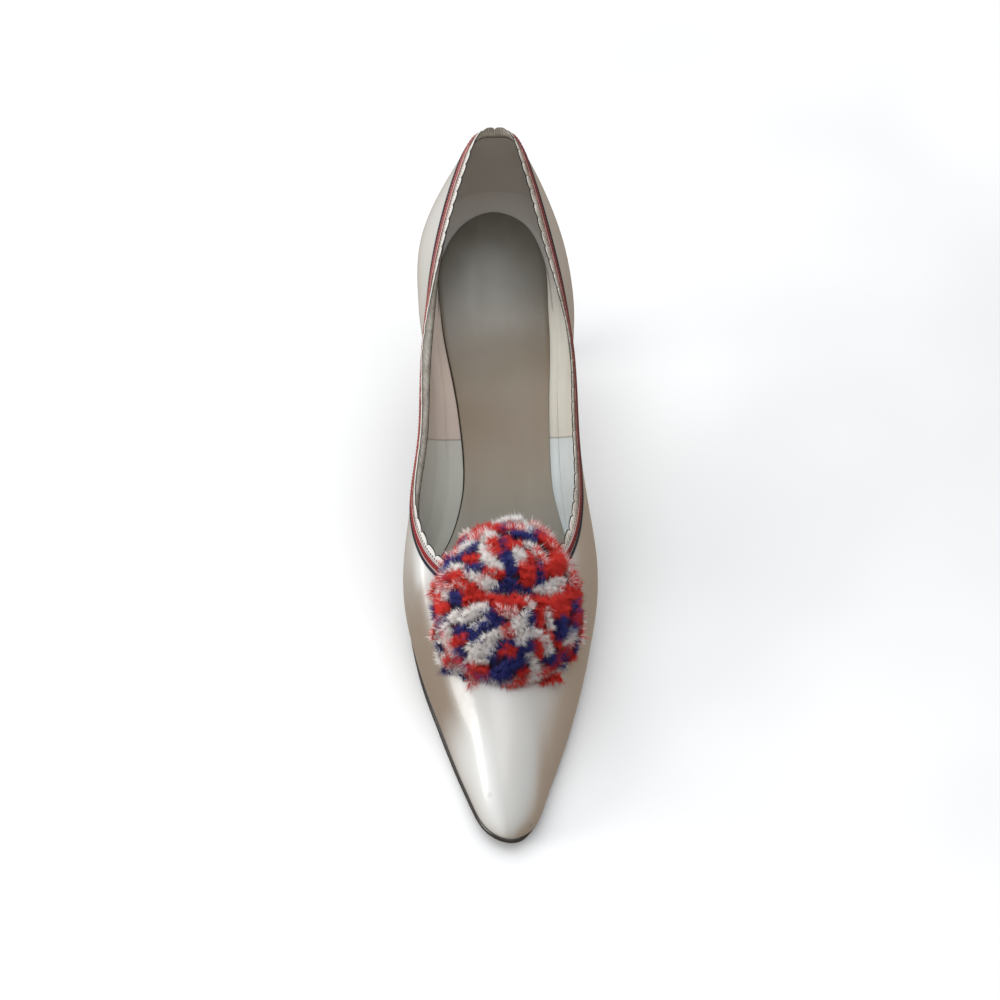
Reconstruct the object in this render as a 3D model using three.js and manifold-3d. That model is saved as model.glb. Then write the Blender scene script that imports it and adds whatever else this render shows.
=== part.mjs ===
// Pointed pump with a high covered heel, a scalloped topline, a two-colour ribbon
// and a fringed pompom on the throat. One shoe, for the left foot.
// Millimetres, +Z up, toe towards -Y, outer side of the foot towards +X.
// The origin is the middle of the heel tip's face on the floor.
import * as THREE from 'three';
import { mergeVertices } from 'three/addons/utils/BufferGeometryUtils.js';
import Module from 'manifold-3d';

// Driving sizes of the last and the sole
const footLength = 242;        // back of the counter to the tip of the toe
const ballWidth = 78;          // widest place of the upper, across the ball
const heelHeight = 86.5;       // floor to the top of the heel seat, at the back
const counterHeight = 47;      // heel seat to the edge of the upper, at the back
const toeSpring = 6;           // lift of the sole under the tip of the toe
const soleThickness = 3;       // outsole, measured square to its face
const soleMargin = 0.9;        // how far the outsole stands out past the upper's foot
const soleBevel = 1.4;         // how far the outsole's lower edge is pared back

// Driving sizes of the pieces
const upperWall = 1.3;         // leather and lining of the upper
const insoleThickness = 2.2;
const insoleBevel = 0.5;       // how far its upper edge is pared in
const sockThickness = 0.8;
const heelBreast = 50;         // back of the shoe to the front of the heel, at the seat
const heelTipWidth = 12.5;     // width of the heel where it meets its top piece
const heelTipDepth = 12.5;     // front to back at the same place
const heelUndercut = 11.5;     // how far the back of the heel runs in under the seat
const topPieceHeight = 6;
const topPieceMargin = 0.3;    // how far the top piece stands out past the heel
const ribbonThickness = 0.4;
const redWidth = 1.8;
const navyWidth = 1.2;
const ribbonSpacing = 0.45;    // bare leather above, between and below the two ribbons
const edgingThickness = 0.5;
const edgingLap = 3.0;         // how far the scalloped strip runs down inside the upper
const scallopValley = 1.6;     // height of the strip over the upper's edge between scallops
const scallopHeight = 1.7;     // rise of each scallop over that
const scallopRoundness = 0.7;  // below 1 the scallops are flatter than a sine
const scallopPitch = 5.6;      // along the edge, drawn to a whole number of scallops
const pompomWidth = 53;        // of the solid body, without its locks
const pompomLength = 60;
const pompomHeight = 15;
const pompomForward = 4.2;     // front of the throat to the middle of the pompom
const pompomAside = 3.3;       // its middle stands this far to the outer side
const rimDroop = 4.5;          // how far its rim hangs below its middle
const rimThickness = 2.4;
const lockLength = 7.5;
const lockRadius = 2.6;
const clearance = 0.3;         // between pieces that touch in the real shoe

// Resolution
const columnsPerStation = 4;
const edgeSamples = 40;        // per station, where the edge's length is measured
const columnsPerScallop = 5;
const wallRows = 7;
const lockSides = 5;
const domeColumns = 24;

const halfBall = ballWidth / 2;

// Foot line, where the upper meets the sole, from the back to the toe.
// along is a share of footLength, medial and lateral are shares of half the ball width.
const footLine = [
  { along: 0.004, medial: 0.000, lateral: 0.000 },
  { along: 0.034, medial: 0.400, lateral: 0.400 },
  { along: 0.112, medial: 0.665, lateral: 0.625 },
  { along: 0.220, medial: 0.692, lateral: 0.685 },
  { along: 0.340, medial: 0.605, lateral: 0.655 },
  { along: 0.460, medial: 0.645, lateral: 0.712 },
  { along: 0.575, medial: 0.925, lateral: 0.890 },
  { along: 0.690, medial: 0.852, lateral: 0.815 },
  { along: 0.800, medial: 0.655, lateral: 0.645 },
  { along: 0.905, medial: 0.434, lateral: 0.408 },
  { along: 0.972, medial: 0.254, lateral: 0.240 },
  { along: 0.996, medial: 0.000, lateral: 0.000 },
];

// Edge of the upper, row for row over the foot line.
// height is over the footbed, a share of counterHeight.
const topLine = [
  { along: 0.000, medial: 0.000, lateral: 0.000, height: 1.030 },
  { along: 0.014, medial: 0.210, lateral: 0.205, height: 1.035 },
  { along: 0.078, medial: 0.385, lateral: 0.345, height: 0.968 },
  { along: 0.180, medial: 0.600, lateral: 0.528, height: 0.785 },
  { along: 0.298, medial: 0.762, lateral: 0.715, height: 0.665 },
  { along: 0.405, medial: 0.812, lateral: 0.752, height: 0.715 },
  { along: 0.504, medial: 0.905, lateral: 0.765, height: 0.850 },
  { along: 0.570, medial: 0.800, lateral: 0.655, height: 0.910 },
  { along: 0.612, medial: 0.565, lateral: 0.420, height: 0.925 },
  { along: 0.633, medial: 0.333, lateral: 0.225, height: 0.925 },
  { along: 0.641, medial: 0.190, lateral: 0.085, height: 0.925 },
  { along: 0.643, medial: 0.058, lateral: -0.058, height: 0.925 },
];

// Fullness of the wall: where the lower handle of each profile stands from the foot line,
// and the upper handle from the edge. forward and out are shares of half the ball width,
// rise and drop are shares of counterHeight.
const lowFullness = [
  { forward: -0.075, medial: 0.000, lateral: 0.000, rise: 0.330 },
  { forward: -0.080, medial: 0.115, lateral: 0.115, rise: 0.330 },
  { forward: -0.025, medial: 0.235, lateral: 0.165, rise: 0.315 },
  { forward: 0.000, medial: 0.200, lateral: 0.190, rise: 0.275 },
  { forward: 0.000, medial: 0.135, lateral: 0.110, rise: 0.255 },
  { forward: 0.000, medial: 0.140, lateral: 0.140, rise: 0.290 },
  { forward: 0.015, medial: 0.175, lateral: 0.185, rise: 0.320 },
  { forward: 0.025, medial: 0.115, lateral: 0.120, rise: 0.330 },
  { forward: 0.025, medial: 0.060, lateral: 0.060, rise: 0.300 },
  { forward: 0.025, medial: 0.038, lateral: 0.038, rise: 0.300 },
  { forward: 0.040, medial: 0.020, lateral: 0.020, rise: 0.290 },
  { forward: 0.050, medial: 0.000, lateral: 0.000, rise: 0.285 },
];
const highFullness = [
  { forward: -0.050, medial: 0.000, lateral: 0.000, drop: 0.330 },
  { forward: -0.060, medial: 0.125, lateral: 0.125, drop: 0.330 },
  { forward: 0.000, medial: 0.255, lateral: 0.205, drop: 0.350 },
  { forward: 0.050, medial: 0.150, lateral: 0.190, drop: 0.275 },
  { forward: 0.050, medial: -0.050, lateral: 0.040, drop: 0.255 },
  { forward: 0.080, medial: -0.005, lateral: 0.080, drop: 0.315 },
  { forward: 0.160, medial: 0.055, lateral: 0.140, drop: 0.350 },
  { forward: 0.360, medial: 0.130, lateral: 0.160, drop: 0.270 },
  { forward: 0.580, medial: 0.150, lateral: 0.160, drop: 0.290 },
  { forward: 0.820, medial: 0.090, lateral: 0.100, drop: 0.345 },
  { forward: 0.990, medial: 0.045, lateral: 0.055, drop: 0.375 },
  { forward: 1.080, medial: 0.000, lateral: 0.000, drop: 0.385 },
];

// Top of the sole along the shoe. rise is a share of the heel's lift over the forefoot.
const footbedLine = [
  { along: 0.000, rise: 1.000 },
  { along: 0.100, rise: 0.963 },
  { along: 0.200, rise: 0.893 },
  { along: 0.300, rise: 0.727 },
  { along: 0.400, rise: 0.475 },
  { along: 0.490, rise: 0.248 },
  { along: 0.560, rise: 0.110 },
  { along: 0.620, rise: 0.036 },
  { along: 0.680, rise: 0.000 },
  { along: 0.800, rise: 0.000 },
];

// Room between the sock and the edge of the insole, as shares of half the ball width.
const sockMargin = [
  { along: 0.00, medial: 0.008, lateral: 0.008 },
  { along: 0.11, medial: 0.040, lateral: 0.060 },
  { along: 0.20, medial: 0.070, lateral: 0.100 },
  { along: 0.31, medial: 0.135, lateral: 0.085 },
  { along: 0.42, medial: 0.235, lateral: 0.095 },
  { along: 0.48, medial: 0.130, lateral: 0.045 },
  { along: 0.53, medial: 0.030, lateral: 0.025 },
  { along: 1.00, medial: 0.020, lateral: 0.020 },
];

// Heel from its seat down to its tip. down is a share of the height, slimness runs from
// 0 at the seat to 1 at the tip, and undercut is a share of heelUndercut.
const heelProfile = [
  { down: 0.00, slimness: 0.000, undercut: 0.00 },
  { down: 0.06, slimness: 0.045, undercut: 0.03 },
  { down: 0.15, slimness: 0.260, undercut: 0.14 },
  { down: 0.27, slimness: 0.540, undercut: 0.32 },
  { down: 0.41, slimness: 0.760, undercut: 0.53 },
  { down: 0.57, slimness: 0.890, undercut: 0.72 },
  { down: 0.77, slimness: 0.965, undercut: 0.88 },
  { down: 1.00, slimness: 1.000, undercut: 1.00 },
];
const breastHollow = 0.12;     // depth of the hollow in the heel's front, as a share

// Interpolation in a table by its along column, without overshoot
function fromTable(table, name, along) {
  const last = table.length - 1;
  if (along <= table[0].along) return table[0][name];
  if (along >= table[last].along) return table[last][name];
  let i = 0;
  while (along > table[i + 1].along) i += 1;
  const secant = (k) => (table[k + 1][name] - table[k][name]) / (table[k + 1].along - table[k].along);
  const slope = (k) => {
    if (k === 0) return secant(0);
    if (k === last) return 0;
    const before = secant(k - 1);
    const after = secant(k);
    return before * after <= 0 ? 0 : (2 * before * after) / (before + after);
  };
  const span = table[i + 1].along - table[i].along;
  const t = (along - table[i].along) / span;
  const startWeight = (1 + 2 * t) * (1 - t) ** 2;
  const endWeight = t * t * (3 - 2 * t);
  const startPull = t * (1 - t) ** 2 * span * slope(i);
  const endPull = t * t * (t - 1) * span * slope(i + 1);
  return startWeight * table[i][name] + endWeight * table[i + 1][name] + startPull + endPull;
}

// Height of the sole's top face at a distance u from the back of the shoe
function footbed(u) {
  const along = u / footLength;
  const springStart = footbedLine[footbedLine.length - 1].along;
  const lift = (heelHeight - soleThickness) * fromTable(footbedLine, 'rise', along);
  const spring = Math.max(0, (along - springStart) / (1 - springStart));
  return soleThickness + lift + toeSpring * spring * spring;
}

// Height of a face that lies the given thickness over the sole's top face, square to it
function overFootbed(u, thickness) {
  const step = 0.5;
  const slope = (footbed(u + step) - footbed(u - step)) / (2 * step);
  return footbed(u) + thickness * Math.hypot(1, slope);
}

// The stations of the tables close into a ring: back, outer side, toe, inner side
const stationCount = footLine.length;
const ringStations = 2 * (stationCount - 1);
const toeStation = stationCount - 1;

function ringOf(table, name, sideways) {
  const values = [];
  for (let i = 0; i < ringStations; i += 1) {
    const outer = i <= toeStation;
    const row = table[outer ? i : ringStations - i];
    if (!sideways) values.push(row[name]);
    else values.push(outer ? row.lateral : -row.medial);
  }
  return values;
}

// Smooth periodic curve through the values of a ring, at station c
function around(values, c) {
  const n = values.length;
  const i = Math.floor(c);
  const t = c - i;
  const at = (k) => values[(((i + k) % n) + n) % n];
  const a = at(-1);
  const b = at(0);
  const d = at(1);
  const e = at(2);
  return b + 0.5 * t * (d - a + t * (2 * a - 5 * b + 4 * d - e + t * (3 * (b - d) + e - a)));
}

const ring = {
  footU: ringOf(footLine, 'along'),
  footX: ringOf(footLine, '', true),
  topU: ringOf(topLine, 'along'),
  topX: ringOf(topLine, '', true),
  topHeight: ringOf(topLine, 'height'),
  lowForward: ringOf(lowFullness, 'forward'),
  lowX: ringOf(lowFullness, '', true),
  lowRise: ringOf(lowFullness, 'rise'),
  highForward: ringOf(highFullness, 'forward'),
  highX: ringOf(highFullness, '', true),
  highDrop: ringOf(highFullness, 'drop'),
};

// Shoe coordinates: x across, u from the back to the toe, z up
function point(x, u, z) {
  return new THREE.Vector3(x, -u, z);
}

// Outline of the foot line in plan, moved outward by a margin
function footPlan(c, margin) {
  const step = 0.02;
  const at = (k) => new THREE.Vector2(halfBall * around(ring.footX, k), footLength * around(ring.footU, k));
  const here = at(c);
  const along = at(c + step).sub(at(c - step)).normalize();
  return new THREE.Vector2(here.x + along.y * margin, here.y - along.x * margin);
}

// Outer face of the upper: c runs round the shoe, w from the foot line up to the edge
function handles(c) {
  const footX = halfBall * around(ring.footX, c);
  const footU = footLength * around(ring.footU, c);
  const topX = halfBall * around(ring.topX, c);
  const topU = footLength * around(ring.topU, c);
  const foot = point(footX, footU, footbed(footU) + clearance);
  const top = point(topX, topU, footbed(topU) + counterHeight * around(ring.topHeight, c));
  const low = foot.clone().add(point(
    halfBall * around(ring.lowX, c),
    halfBall * around(ring.lowForward, c),
    counterHeight * around(ring.lowRise, c),
  ));
  const high = top.clone().add(point(
    halfBall * around(ring.highX, c),
    halfBall * around(ring.highForward, c),
    -counterHeight * around(ring.highDrop, c),
  ));
  return { foot, low, high, top };
}

function skin(c, w) {
  const { foot, low, high, top } = handles(c);
  const v = 1 - w;
  return new THREE.Vector3()
    .addScaledVector(foot, v * v * v)
    .addScaledVector(low, 3 * v * v * w)
    .addScaledVector(high, 3 * v * w * w)
    .addScaledVector(top, w * w * w);
}

function skinNormal(c, w) {
  const step = 0.01;
  const across = skin(c + step, w).sub(skin(c - step, w));
  const upward = skin(c, w + step).sub(skin(c, w - step));
  return across.cross(upward).normalize().negate();
}

function skinOffset(c, w, distance) {
  return skin(c, w).addScaledVector(skinNormal(c, w), distance);
}

// Place on the skin a real distance below the upper's edge
function belowEdge(c, distance) {
  const steps = 12;
  let w = 1;
  for (let i = 0; i < steps; i += 1) {
    const { high, top } = handles(c);
    const probe = 0.002;
    const speed = skin(c, w).distanceTo(skin(c, w - probe)) / probe;
    w -= distance / steps / Math.max(speed, top.distanceTo(high) * 0.5);
  }
  return w;
}

// Place over the upper's edge, in line with its wall
function overEdge(c, rise, distance) {
  const { high, top } = handles(c);
  const upward = top.clone().sub(high).normalize();
  return top.clone().addScaledVector(upward, rise).addScaledVector(skinNormal(c, 1), distance);
}

// Closed meshes
function solidFrom(positions, triangles) {
  const geometry = new THREE.BufferGeometry();
  const flat = positions.flatMap((p) => [p.x, p.y, p.z]);
  geometry.setAttribute('position', new THREE.Float32BufferAttribute(flat, 3));
  let volume = 0;
  for (const [a, b, c] of triangles) {
    volume += positions[a].dot(positions[b].clone().cross(positions[c]));
  }
  geometry.setIndex(triangles.flatMap(([a, b, c]) => (volume < 0 ? [a, c, b] : [a, b, c])));
  geometry.computeVertexNormals();
  return geometry;
}

function walls(loopCount, size, closed) {
  const triangles = [];
  const turns = closed ? loopCount : loopCount - 1;
  for (let r = 0; r < turns; r += 1) {
    const low = r * size;
    const high = ((r + 1) % loopCount) * size;
    for (let k = 0; k < size; k += 1) {
      const next = (k + 1) % size;
      triangles.push([low + k, low + next, high + next], [low + k, high + next, high + k]);
    }
  }
  return triangles;
}

// A hollow ring: loops one after the other round its wall
function ringSolid(loops) {
  return solidFrom(loops.flat(), walls(loops.length, loops[0].length, true));
}

// A stack of loops with a cap at each end. Caps are laddered across the shoe, from the
// first point of the loop, or from the edge between its first and last point.
function stackSolid(loops, startsAtPoint) {
  const size = loops[0].length;
  const triangles = walls(loops.length, size, false);
  const cap = [];
  let i = startsAtPoint ? 1 : 0;
  let k = size - 1;
  if (startsAtPoint) cap.push([0, 1, k]);
  while (k - i > 1) {
    cap.push([i, i + 1, k]);
    if (k - i > 2) cap.push([i + 1, k - 1, k]);
    i += 1;
    k -= 1;
  }
  const end = (loops.length - 1) * size;
  for (const [a, b, c] of cap) {
    triangles.push([a, c, b], [end + a, end + b, end + c]);
  }
  return solidFrom(loops.flat(), triangles);
}

function columns(count) {
  return Array.from({ length: count }, (_, k) => (k * ringStations) / count);
}

// Stations at equal distances along the upper's edge, a whole number for each scallop
function edgeStations() {
  const fine = columns(ringStations * edgeSamples);
  const distances = [0];
  for (let k = 1; k <= fine.length; k += 1) {
    const step = skin(fine[k] ?? ringStations, 1).distanceTo(skin(fine[k - 1], 1));
    distances.push(distances[k - 1] + step);
  }
  const total = distances[fine.length];
  const count = columnsPerScallop * Math.round(total / scallopPitch);
  const stations = [];
  let k = 0;
  for (let i = 0; i < count; i += 1) {
    const wanted = (total * i) / count;
    while (distances[k + 1] < wanted) k += 1;
    const share = (wanted - distances[k]) / (distances[k + 1] - distances[k]);
    stations.push(((k + share) * ringStations) / fine.length);
  }
  return stations;
}

// Upper: outer rows from the sole to the edge, then inner rows back down
function makeUpper() {
  const ribbonBand = redWidth + navyWidth + 3 * ribbonSpacing;
  const stations = columns(ringStations * columnsPerStation);
  const rowPlace = (c, row) => {
    const lowest = belowEdge(c, ribbonBand);
    if (row <= wallRows) return (lowest * row) / wallRows;
    return belowEdge(c, (ribbonBand * (wallRows + 2 - row)) / 2);
  };
  const loops = [];
  for (let row = 0; row <= wallRows + 2; row += 1) {
    loops.push(stations.map((c) => skinOffset(c, rowPlace(c, row), 0)));
  }
  for (let row = wallRows + 2; row >= 0; row -= 1) {
    loops.push(stations.map((c) => skinOffset(c, rowPlace(c, row), -upperWall)));
  }
  return ringSolid(loops);
}

// A ribbon laid over the upper between two distances below its edge
function makeRibbon(start, width) {
  const stations = columns(ringStations * columnsPerStation);
  const inside = clearance;
  const outside = clearance + ribbonThickness;
  const band = (distance, offset) => stations.map((c) => skinOffset(c, belowEdge(c, distance), offset));
  return ringSolid([
    band(start + width, inside),
    band(start + width, outside),
    band(start, outside),
    band(start, inside),
  ]);
}

// Scalloped strip, lapped inside the edge of the upper and standing over it
function makeEdging() {
  const stations = edgeStations();
  const nearFace = -(upperWall + clearance);
  const farFace = nearFace - edgingThickness;
  const foot = (face) => stations.map((c) => skinOffset(c, belowEdge(c, edgingLap), face));
  const crest = (face) => stations.map((c, k) => {
    const lobe = Math.sin((Math.PI * (k % columnsPerScallop)) / columnsPerScallop) ** scallopRoundness;
    return overEdge(c, scallopValley + scallopHeight * lobe, face);
  });
  return ringSolid([foot(nearFace), crest(nearFace), crest(farFace), foot(farFace)]);
}

// Outsole: from the heel breast to the toe, pared back at its lower edge
function makeOutsole() {
  const fine = columns(ringStations * columnsPerStation);
  const start = heelBreast + clearance;
  const front = fine.filter((c) => footPlan(c, 0).y > start + 1);
  const loopAt = (margin, depth) => {
    const loop = front.map((c) => {
      const plan = footPlan(c, margin);
      return point(plan.x, plan.y, overFootbed(plan.y, -depth));
    });
    const rear = (p) => point(p.x, start, overFootbed(start, -depth));
    return [rear(loop[0]), ...loop, rear(loop[loop.length - 1])];
  };
  return stackSolid([
    loopAt(soleMargin - soleBevel, soleThickness),
    loopAt(soleMargin, soleThickness * 0.6),
    loopAt(soleMargin, 0),
  ], false);
}

// A thin board inside the upper, inset from the foot line
function makeBoard(insetAt, lower, thickness, bevel) {
  const stations = columns(ringStations * columnsPerStation);
  const loopAt = (height, margin) => stations.map((c) => {
    const plan = footPlan(c, -insetAt(c) - margin);
    return point(plan.x, plan.y, overFootbed(plan.y, height));
  });
  return stackSolid([loopAt(lower, 0), loopAt(lower + thickness, bevel)], true);
}

const insoleInset = upperWall + 2 * clearance;

function sockInset(c) {
  const outer = c <= toeStation;
  const margin = fromTable(sockMargin, outer ? 'lateral' : 'medial', around(ring.footU, c));
  return insoleInset + insoleBevel + halfBall * margin;
}

// Heel: the seat's outline, slimmed and moved forward on its way down
function heelSection(row) {
  const fine = columns(ringStations * columnsPerStation);
  const seat = fine.filter((c) => footPlan(c, 0).y < heelBreast - 1).map((c) => footPlan(c, 0));
  const firstInner = seat.findIndex((p) => p.x < 0);
  const backRound = [...seat.slice(firstInner), ...seat.slice(0, firstInner)].reverse();
  const backU = Math.min(...backRound.map((p) => p.y));
  const seatHalf = Math.max(...backRound.map((p) => p.x));
  const corner = (p) => new THREE.Vector2(p.x, heelBreast);
  const outline = [corner(backRound[0]), ...backRound, corner(backRound[backRound.length - 1])];
  const across = 1 + row.slimness * (heelTipWidth / 2 / seatHalf - 1);
  const deep = 1 + row.slimness * (heelTipDepth / (heelBreast - backU) - 1);
  const shift = heelUndercut * row.undercut;
  const foot = topPieceHeight + clearance;
  const place = (x, u) => {
    const top = footbed(u);
    return point(x * across, backU + shift + (u - backU) * deep, top + (foot - top) * row.down);
  };
  const hollow = breastHollow * (heelBreast - backU) * Math.min(1, row.down * 8);
  const middle = place(0, heelBreast);
  middle.y += hollow * deep;
  return [middle, ...outline.map((p) => place(p.x, p.y))];
}

function makeHeel() {
  return stackSolid(heelProfile.map(heelSection), true);
}

// Top piece: the heel's last section, a little larger, flat on the floor
function makeTopPiece() {
  const tip = heelSection(heelProfile[heelProfile.length - 1]);
  const centre = tipCentre();
  const loopAt = (z, margin) => tip.map((p) => {
    const out = new THREE.Vector2(p.x - centre.x, p.y - centre.y);
    const grown = out.clone().setLength(out.length() + margin);
    return new THREE.Vector3(centre.x + grown.x, centre.y + grown.y, z);
  });
  return stackSolid([loopAt(0, topPieceMargin), loopAt(topPieceHeight, topPieceMargin)], true);
}

function tipCentre() {
  const tip = heelSection(heelProfile[heelProfile.length - 1]);
  const middle = (values) => (Math.min(...values) + Math.max(...values)) / 2;
  return new THREE.Vector3(middle(tip.map((p) => p.x)), middle(tip.map((p) => p.y)), 0);
}

// Pompom: a dome that lies on the vamp, with pointed locks fused on
function pompomFrame() {
  let w = 1;
  const throat = footLength * around(ring.topU, toeStation);
  while (-skin(toeStation, w).y < throat + pompomForward) w -= 0.002;
  const centre = skin(toeStation, w).add(point(pompomAside, 0, 0));
  const up = skinNormal(toeStation, w);
  const across = new THREE.Vector3(1, 0, 0);
  const forward = new THREE.Vector3().crossVectors(across, up).normalize();
  across.crossVectors(up, forward).normalize();
  return { centre, up, across, forward };
}

// How far the shoe's surface reaches over the pompom's seat plane, near a place on it
function seatRelief(frame) {
  const spots = [];
  const trim = clearance + ribbonThickness;
  for (let c = 0; c < ringStations; c += 0.125) {
    for (let w = 0.3; w <= 1.001; w += 0.025) spots.push(skinOffset(c, w, trim));
    spots.push(overEdge(c, scallopValley + scallopHeight, 0));
  }
  const local = spots.map((p) => {
    const arm = p.clone().sub(frame.centre);
    return { p: arm.dot(frame.across), q: arm.dot(frame.forward), h: arm.dot(frame.up) };
  });
  const reach = 3.5;
  return (p, q) => {
    const near = local.filter((s) => Math.hypot(s.p - p, s.q - q) < reach);
    return Math.max(-pompomHeight, ...near.map((s) => s.h)) + 2 * clearance;
  };
}

function makePompom(wasm) {
  const frame = pompomFrame();
  const relief = seatRelief(frame);
  const place = (p, q, h) => frame.centre.clone()
    .addScaledVector(frame.across, p)
    .addScaledVector(frame.forward, q)
    .addScaledVector(frame.up, h);
  const shareAt = (p, q) => Math.hypot((2 * p) / pompomWidth, (2 * q) / pompomLength);
  const under = (p, q) => Math.max(relief(p, q), -rimDroop * shareAt(p, q) ** 2);
  const dome = (share) => pompomHeight * Math.sqrt(Math.max(0, 1 - share ** 2.4));
  const loopAt = (share, height) => Array.from({ length: domeColumns }, (_, k) => {
    const angle = (2 * Math.PI * k) / domeColumns;
    const p = 0.5 * share * pompomWidth * Math.cos(angle);
    const q = 0.5 * share * pompomLength * Math.sin(angle);
    return place(p, q, height(p, q, share));
  });
  const top = (p, q, share) => under(p, q) * share + rimThickness + dome(share);
  const loops = [
    ...[0.02, 0.35, 0.7, 0.95].map((share) => loopAt(share, under)),
    ...[1, 0.88, 0.68, 0.44, 0.2, 0.02].map((share) => loopAt(share, top)),
  ];
  const body = toManifold(wasm, stackSolid(loops, true));

  // Locks stand off the dome in rows, turned row against row
  const rows = [
    { share: 0.10, count: 4, lean: 0.25 },
    { share: 0.34, count: 10, lean: 0.45 },
    { share: 0.57, count: 16, lean: 0.70 },
    { share: 0.78, count: 22, lean: 1.00 },
    { share: 0.95, count: 26, lean: 1.40 },
  ];
  let whole = body;
  rows.forEach((row, r) => {
    for (let k = 0; k < row.count; k += 1) {
      const angle = (2 * Math.PI * (k + 0.5 * (r % 2))) / row.count;
      const p = 0.5 * row.share * pompomWidth * Math.cos(angle);
      const q = 0.5 * row.share * pompomLength * Math.sin(angle);
      const h = top(p, q, row.share);
      const root = place(p, q, h - lockRadius * 0.7);
      const outward = frame.across.clone().multiplyScalar(Math.cos(angle))
        .addScaledVector(frame.forward, Math.sin(angle));
      const direction = frame.up.clone().addScaledVector(outward, row.lean).normalize();
      const long = lockLength * (0.85 + 0.15 * Math.cos(5 * k + r));
      const cone = new THREE.ConeGeometry(lockRadius, long, lockSides);
      cone.translate(0, long / 2, 0);
      cone.applyQuaternion(new THREE.Quaternion().setFromUnitVectors(new THREE.Vector3(0, 1, 0), direction));
      cone.translate(root.x, root.y, root.z);
      whole = whole.add(toManifold(wasm, cone));
    }
  });
  return fromManifold(whole);
}

function toManifold(wasm, geometry) {
  const bare = geometry.clone();
  for (const name of ['normal', 'uv']) bare.deleteAttribute(name);
  const merged = mergeVertices(bare, 1e-4);
  return new wasm.Manifold(new wasm.Mesh({
    numProp: 3,
    vertProperties: new Float32Array(merged.attributes.position.array),
    triVerts: new Uint32Array(merged.index.array),
  }));
}

function fromManifold(solid) {
  const mesh = solid.getMesh();
  const geometry = new THREE.BufferGeometry();
  geometry.setAttribute('position', new THREE.Float32BufferAttribute(mesh.vertProperties, 3));
  geometry.setIndex(Array.from(mesh.triVerts));
  geometry.computeVertexNormals();
  return geometry;
}

const wasm = await Module();
wasm.setup();

const finishes = {
  pearlLeather: { color: 0xe9e6e0, roughness: 0.32, metalness: 0.0 },
  whiteTrim: { color: 0xf2f0ea, roughness: 0.55, metalness: 0.0 },
  redRibbon: { color: 0xb5332c, roughness: 0.8, metalness: 0.0 },
  navyRibbon: { color: 0x1d2140, roughness: 0.8, metalness: 0.0 },
  blackSole: { color: 0x141312, roughness: 0.4, metalness: 0.0 },
  boardTan: { color: 0xb8ad9c, roughness: 0.8, metalness: 0.0 },
  greySatin: { color: 0x8f887a, roughness: 0.6, metalness: 0.0 },
  rubberBlack: { color: 0x161514, roughness: 0.7, metalness: 0.0 },
  fringe: { color: 0xc3484a, roughness: 0.95, metalness: 0.0 },
};

const shoe = new THREE.Group();
function addPiece(name, geometry, finish) {
  const mesh = new THREE.Mesh(geometry, new THREE.MeshStandardMaterial(finishes[finish]));
  mesh.name = name;
  shoe.add(mesh);
}

const redStart = ribbonSpacing;
const navyStart = redStart + redWidth + ribbonSpacing;
const insoleLower = clearance;
const sockLower = insoleLower + insoleThickness + clearance;

addPiece('upper', makeUpper(), 'pearlLeather');
addPiece('edging', makeEdging(), 'whiteTrim');
addPiece('ribbon_red', makeRibbon(redStart, redWidth), 'redRibbon');
addPiece('ribbon_navy', makeRibbon(navyStart, navyWidth), 'navyRibbon');
addPiece('outsole', makeOutsole(), 'blackSole');
addPiece('insole', makeBoard(() => insoleInset, insoleLower, insoleThickness, insoleBevel), 'boardTan');
addPiece('sock', makeBoard(sockInset, sockLower, sockThickness, 0), 'greySatin');
addPiece('heel', makeHeel(), 'pearlLeather');
addPiece('top_piece', makeTopPiece(), 'rubberBlack');
addPiece('pompom', makePompom(wasm), 'fringe');

const origin = tipCentre();
shoe.position.set(-origin.x, -origin.y, 0);

export default shoe;
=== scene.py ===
# Pointed pump for the left foot: pearl leather, scalloped edge, two ribbons and a fringed pompom.
# The frame is in metres, +Z up, toe towards -Y, outer side of the foot towards +X.
# The last is worked out in millimetres: x across, u from the back of the shoe to the toe, z up.
import functools
import math
import random

import bmesh
import bpy
import numpy as np
from mathutils import Matrix, Vector
from mathutils.bvhtree import BVHTree


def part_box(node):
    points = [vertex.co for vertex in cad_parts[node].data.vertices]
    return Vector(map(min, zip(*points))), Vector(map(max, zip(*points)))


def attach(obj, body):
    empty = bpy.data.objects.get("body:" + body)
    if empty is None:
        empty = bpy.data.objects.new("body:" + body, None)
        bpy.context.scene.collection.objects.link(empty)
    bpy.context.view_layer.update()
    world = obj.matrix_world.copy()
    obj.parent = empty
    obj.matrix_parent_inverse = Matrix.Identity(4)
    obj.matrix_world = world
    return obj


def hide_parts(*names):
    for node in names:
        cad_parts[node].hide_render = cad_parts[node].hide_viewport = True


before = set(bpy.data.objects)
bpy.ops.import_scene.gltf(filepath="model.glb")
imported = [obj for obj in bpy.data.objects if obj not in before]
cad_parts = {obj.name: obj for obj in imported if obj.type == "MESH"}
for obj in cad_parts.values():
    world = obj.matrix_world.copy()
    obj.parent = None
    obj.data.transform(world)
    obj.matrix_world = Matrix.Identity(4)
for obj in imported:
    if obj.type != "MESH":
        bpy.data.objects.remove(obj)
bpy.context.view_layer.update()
mm = 0.001

# The last
last = {
    "footLength": 242,
    "halfBall": 39,
    "heelHeight": 86.5,
    "counterHeight": 47,
    "toeSpring": 6,
    "soleThickness": 3,
    "clearance": 0.3,
    "heelBreast": 50,
}
# The rear of the outsole and the middle of the heel tip tie the last to the frame
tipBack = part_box("outsole")[1].y / mm + last["heelBreast"] + last["clearance"]
tipAside = 0.07


def tableOf(names, rows):
    return {name: [row[k] for row in rows] for k, name in enumerate(names.split())}


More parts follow.
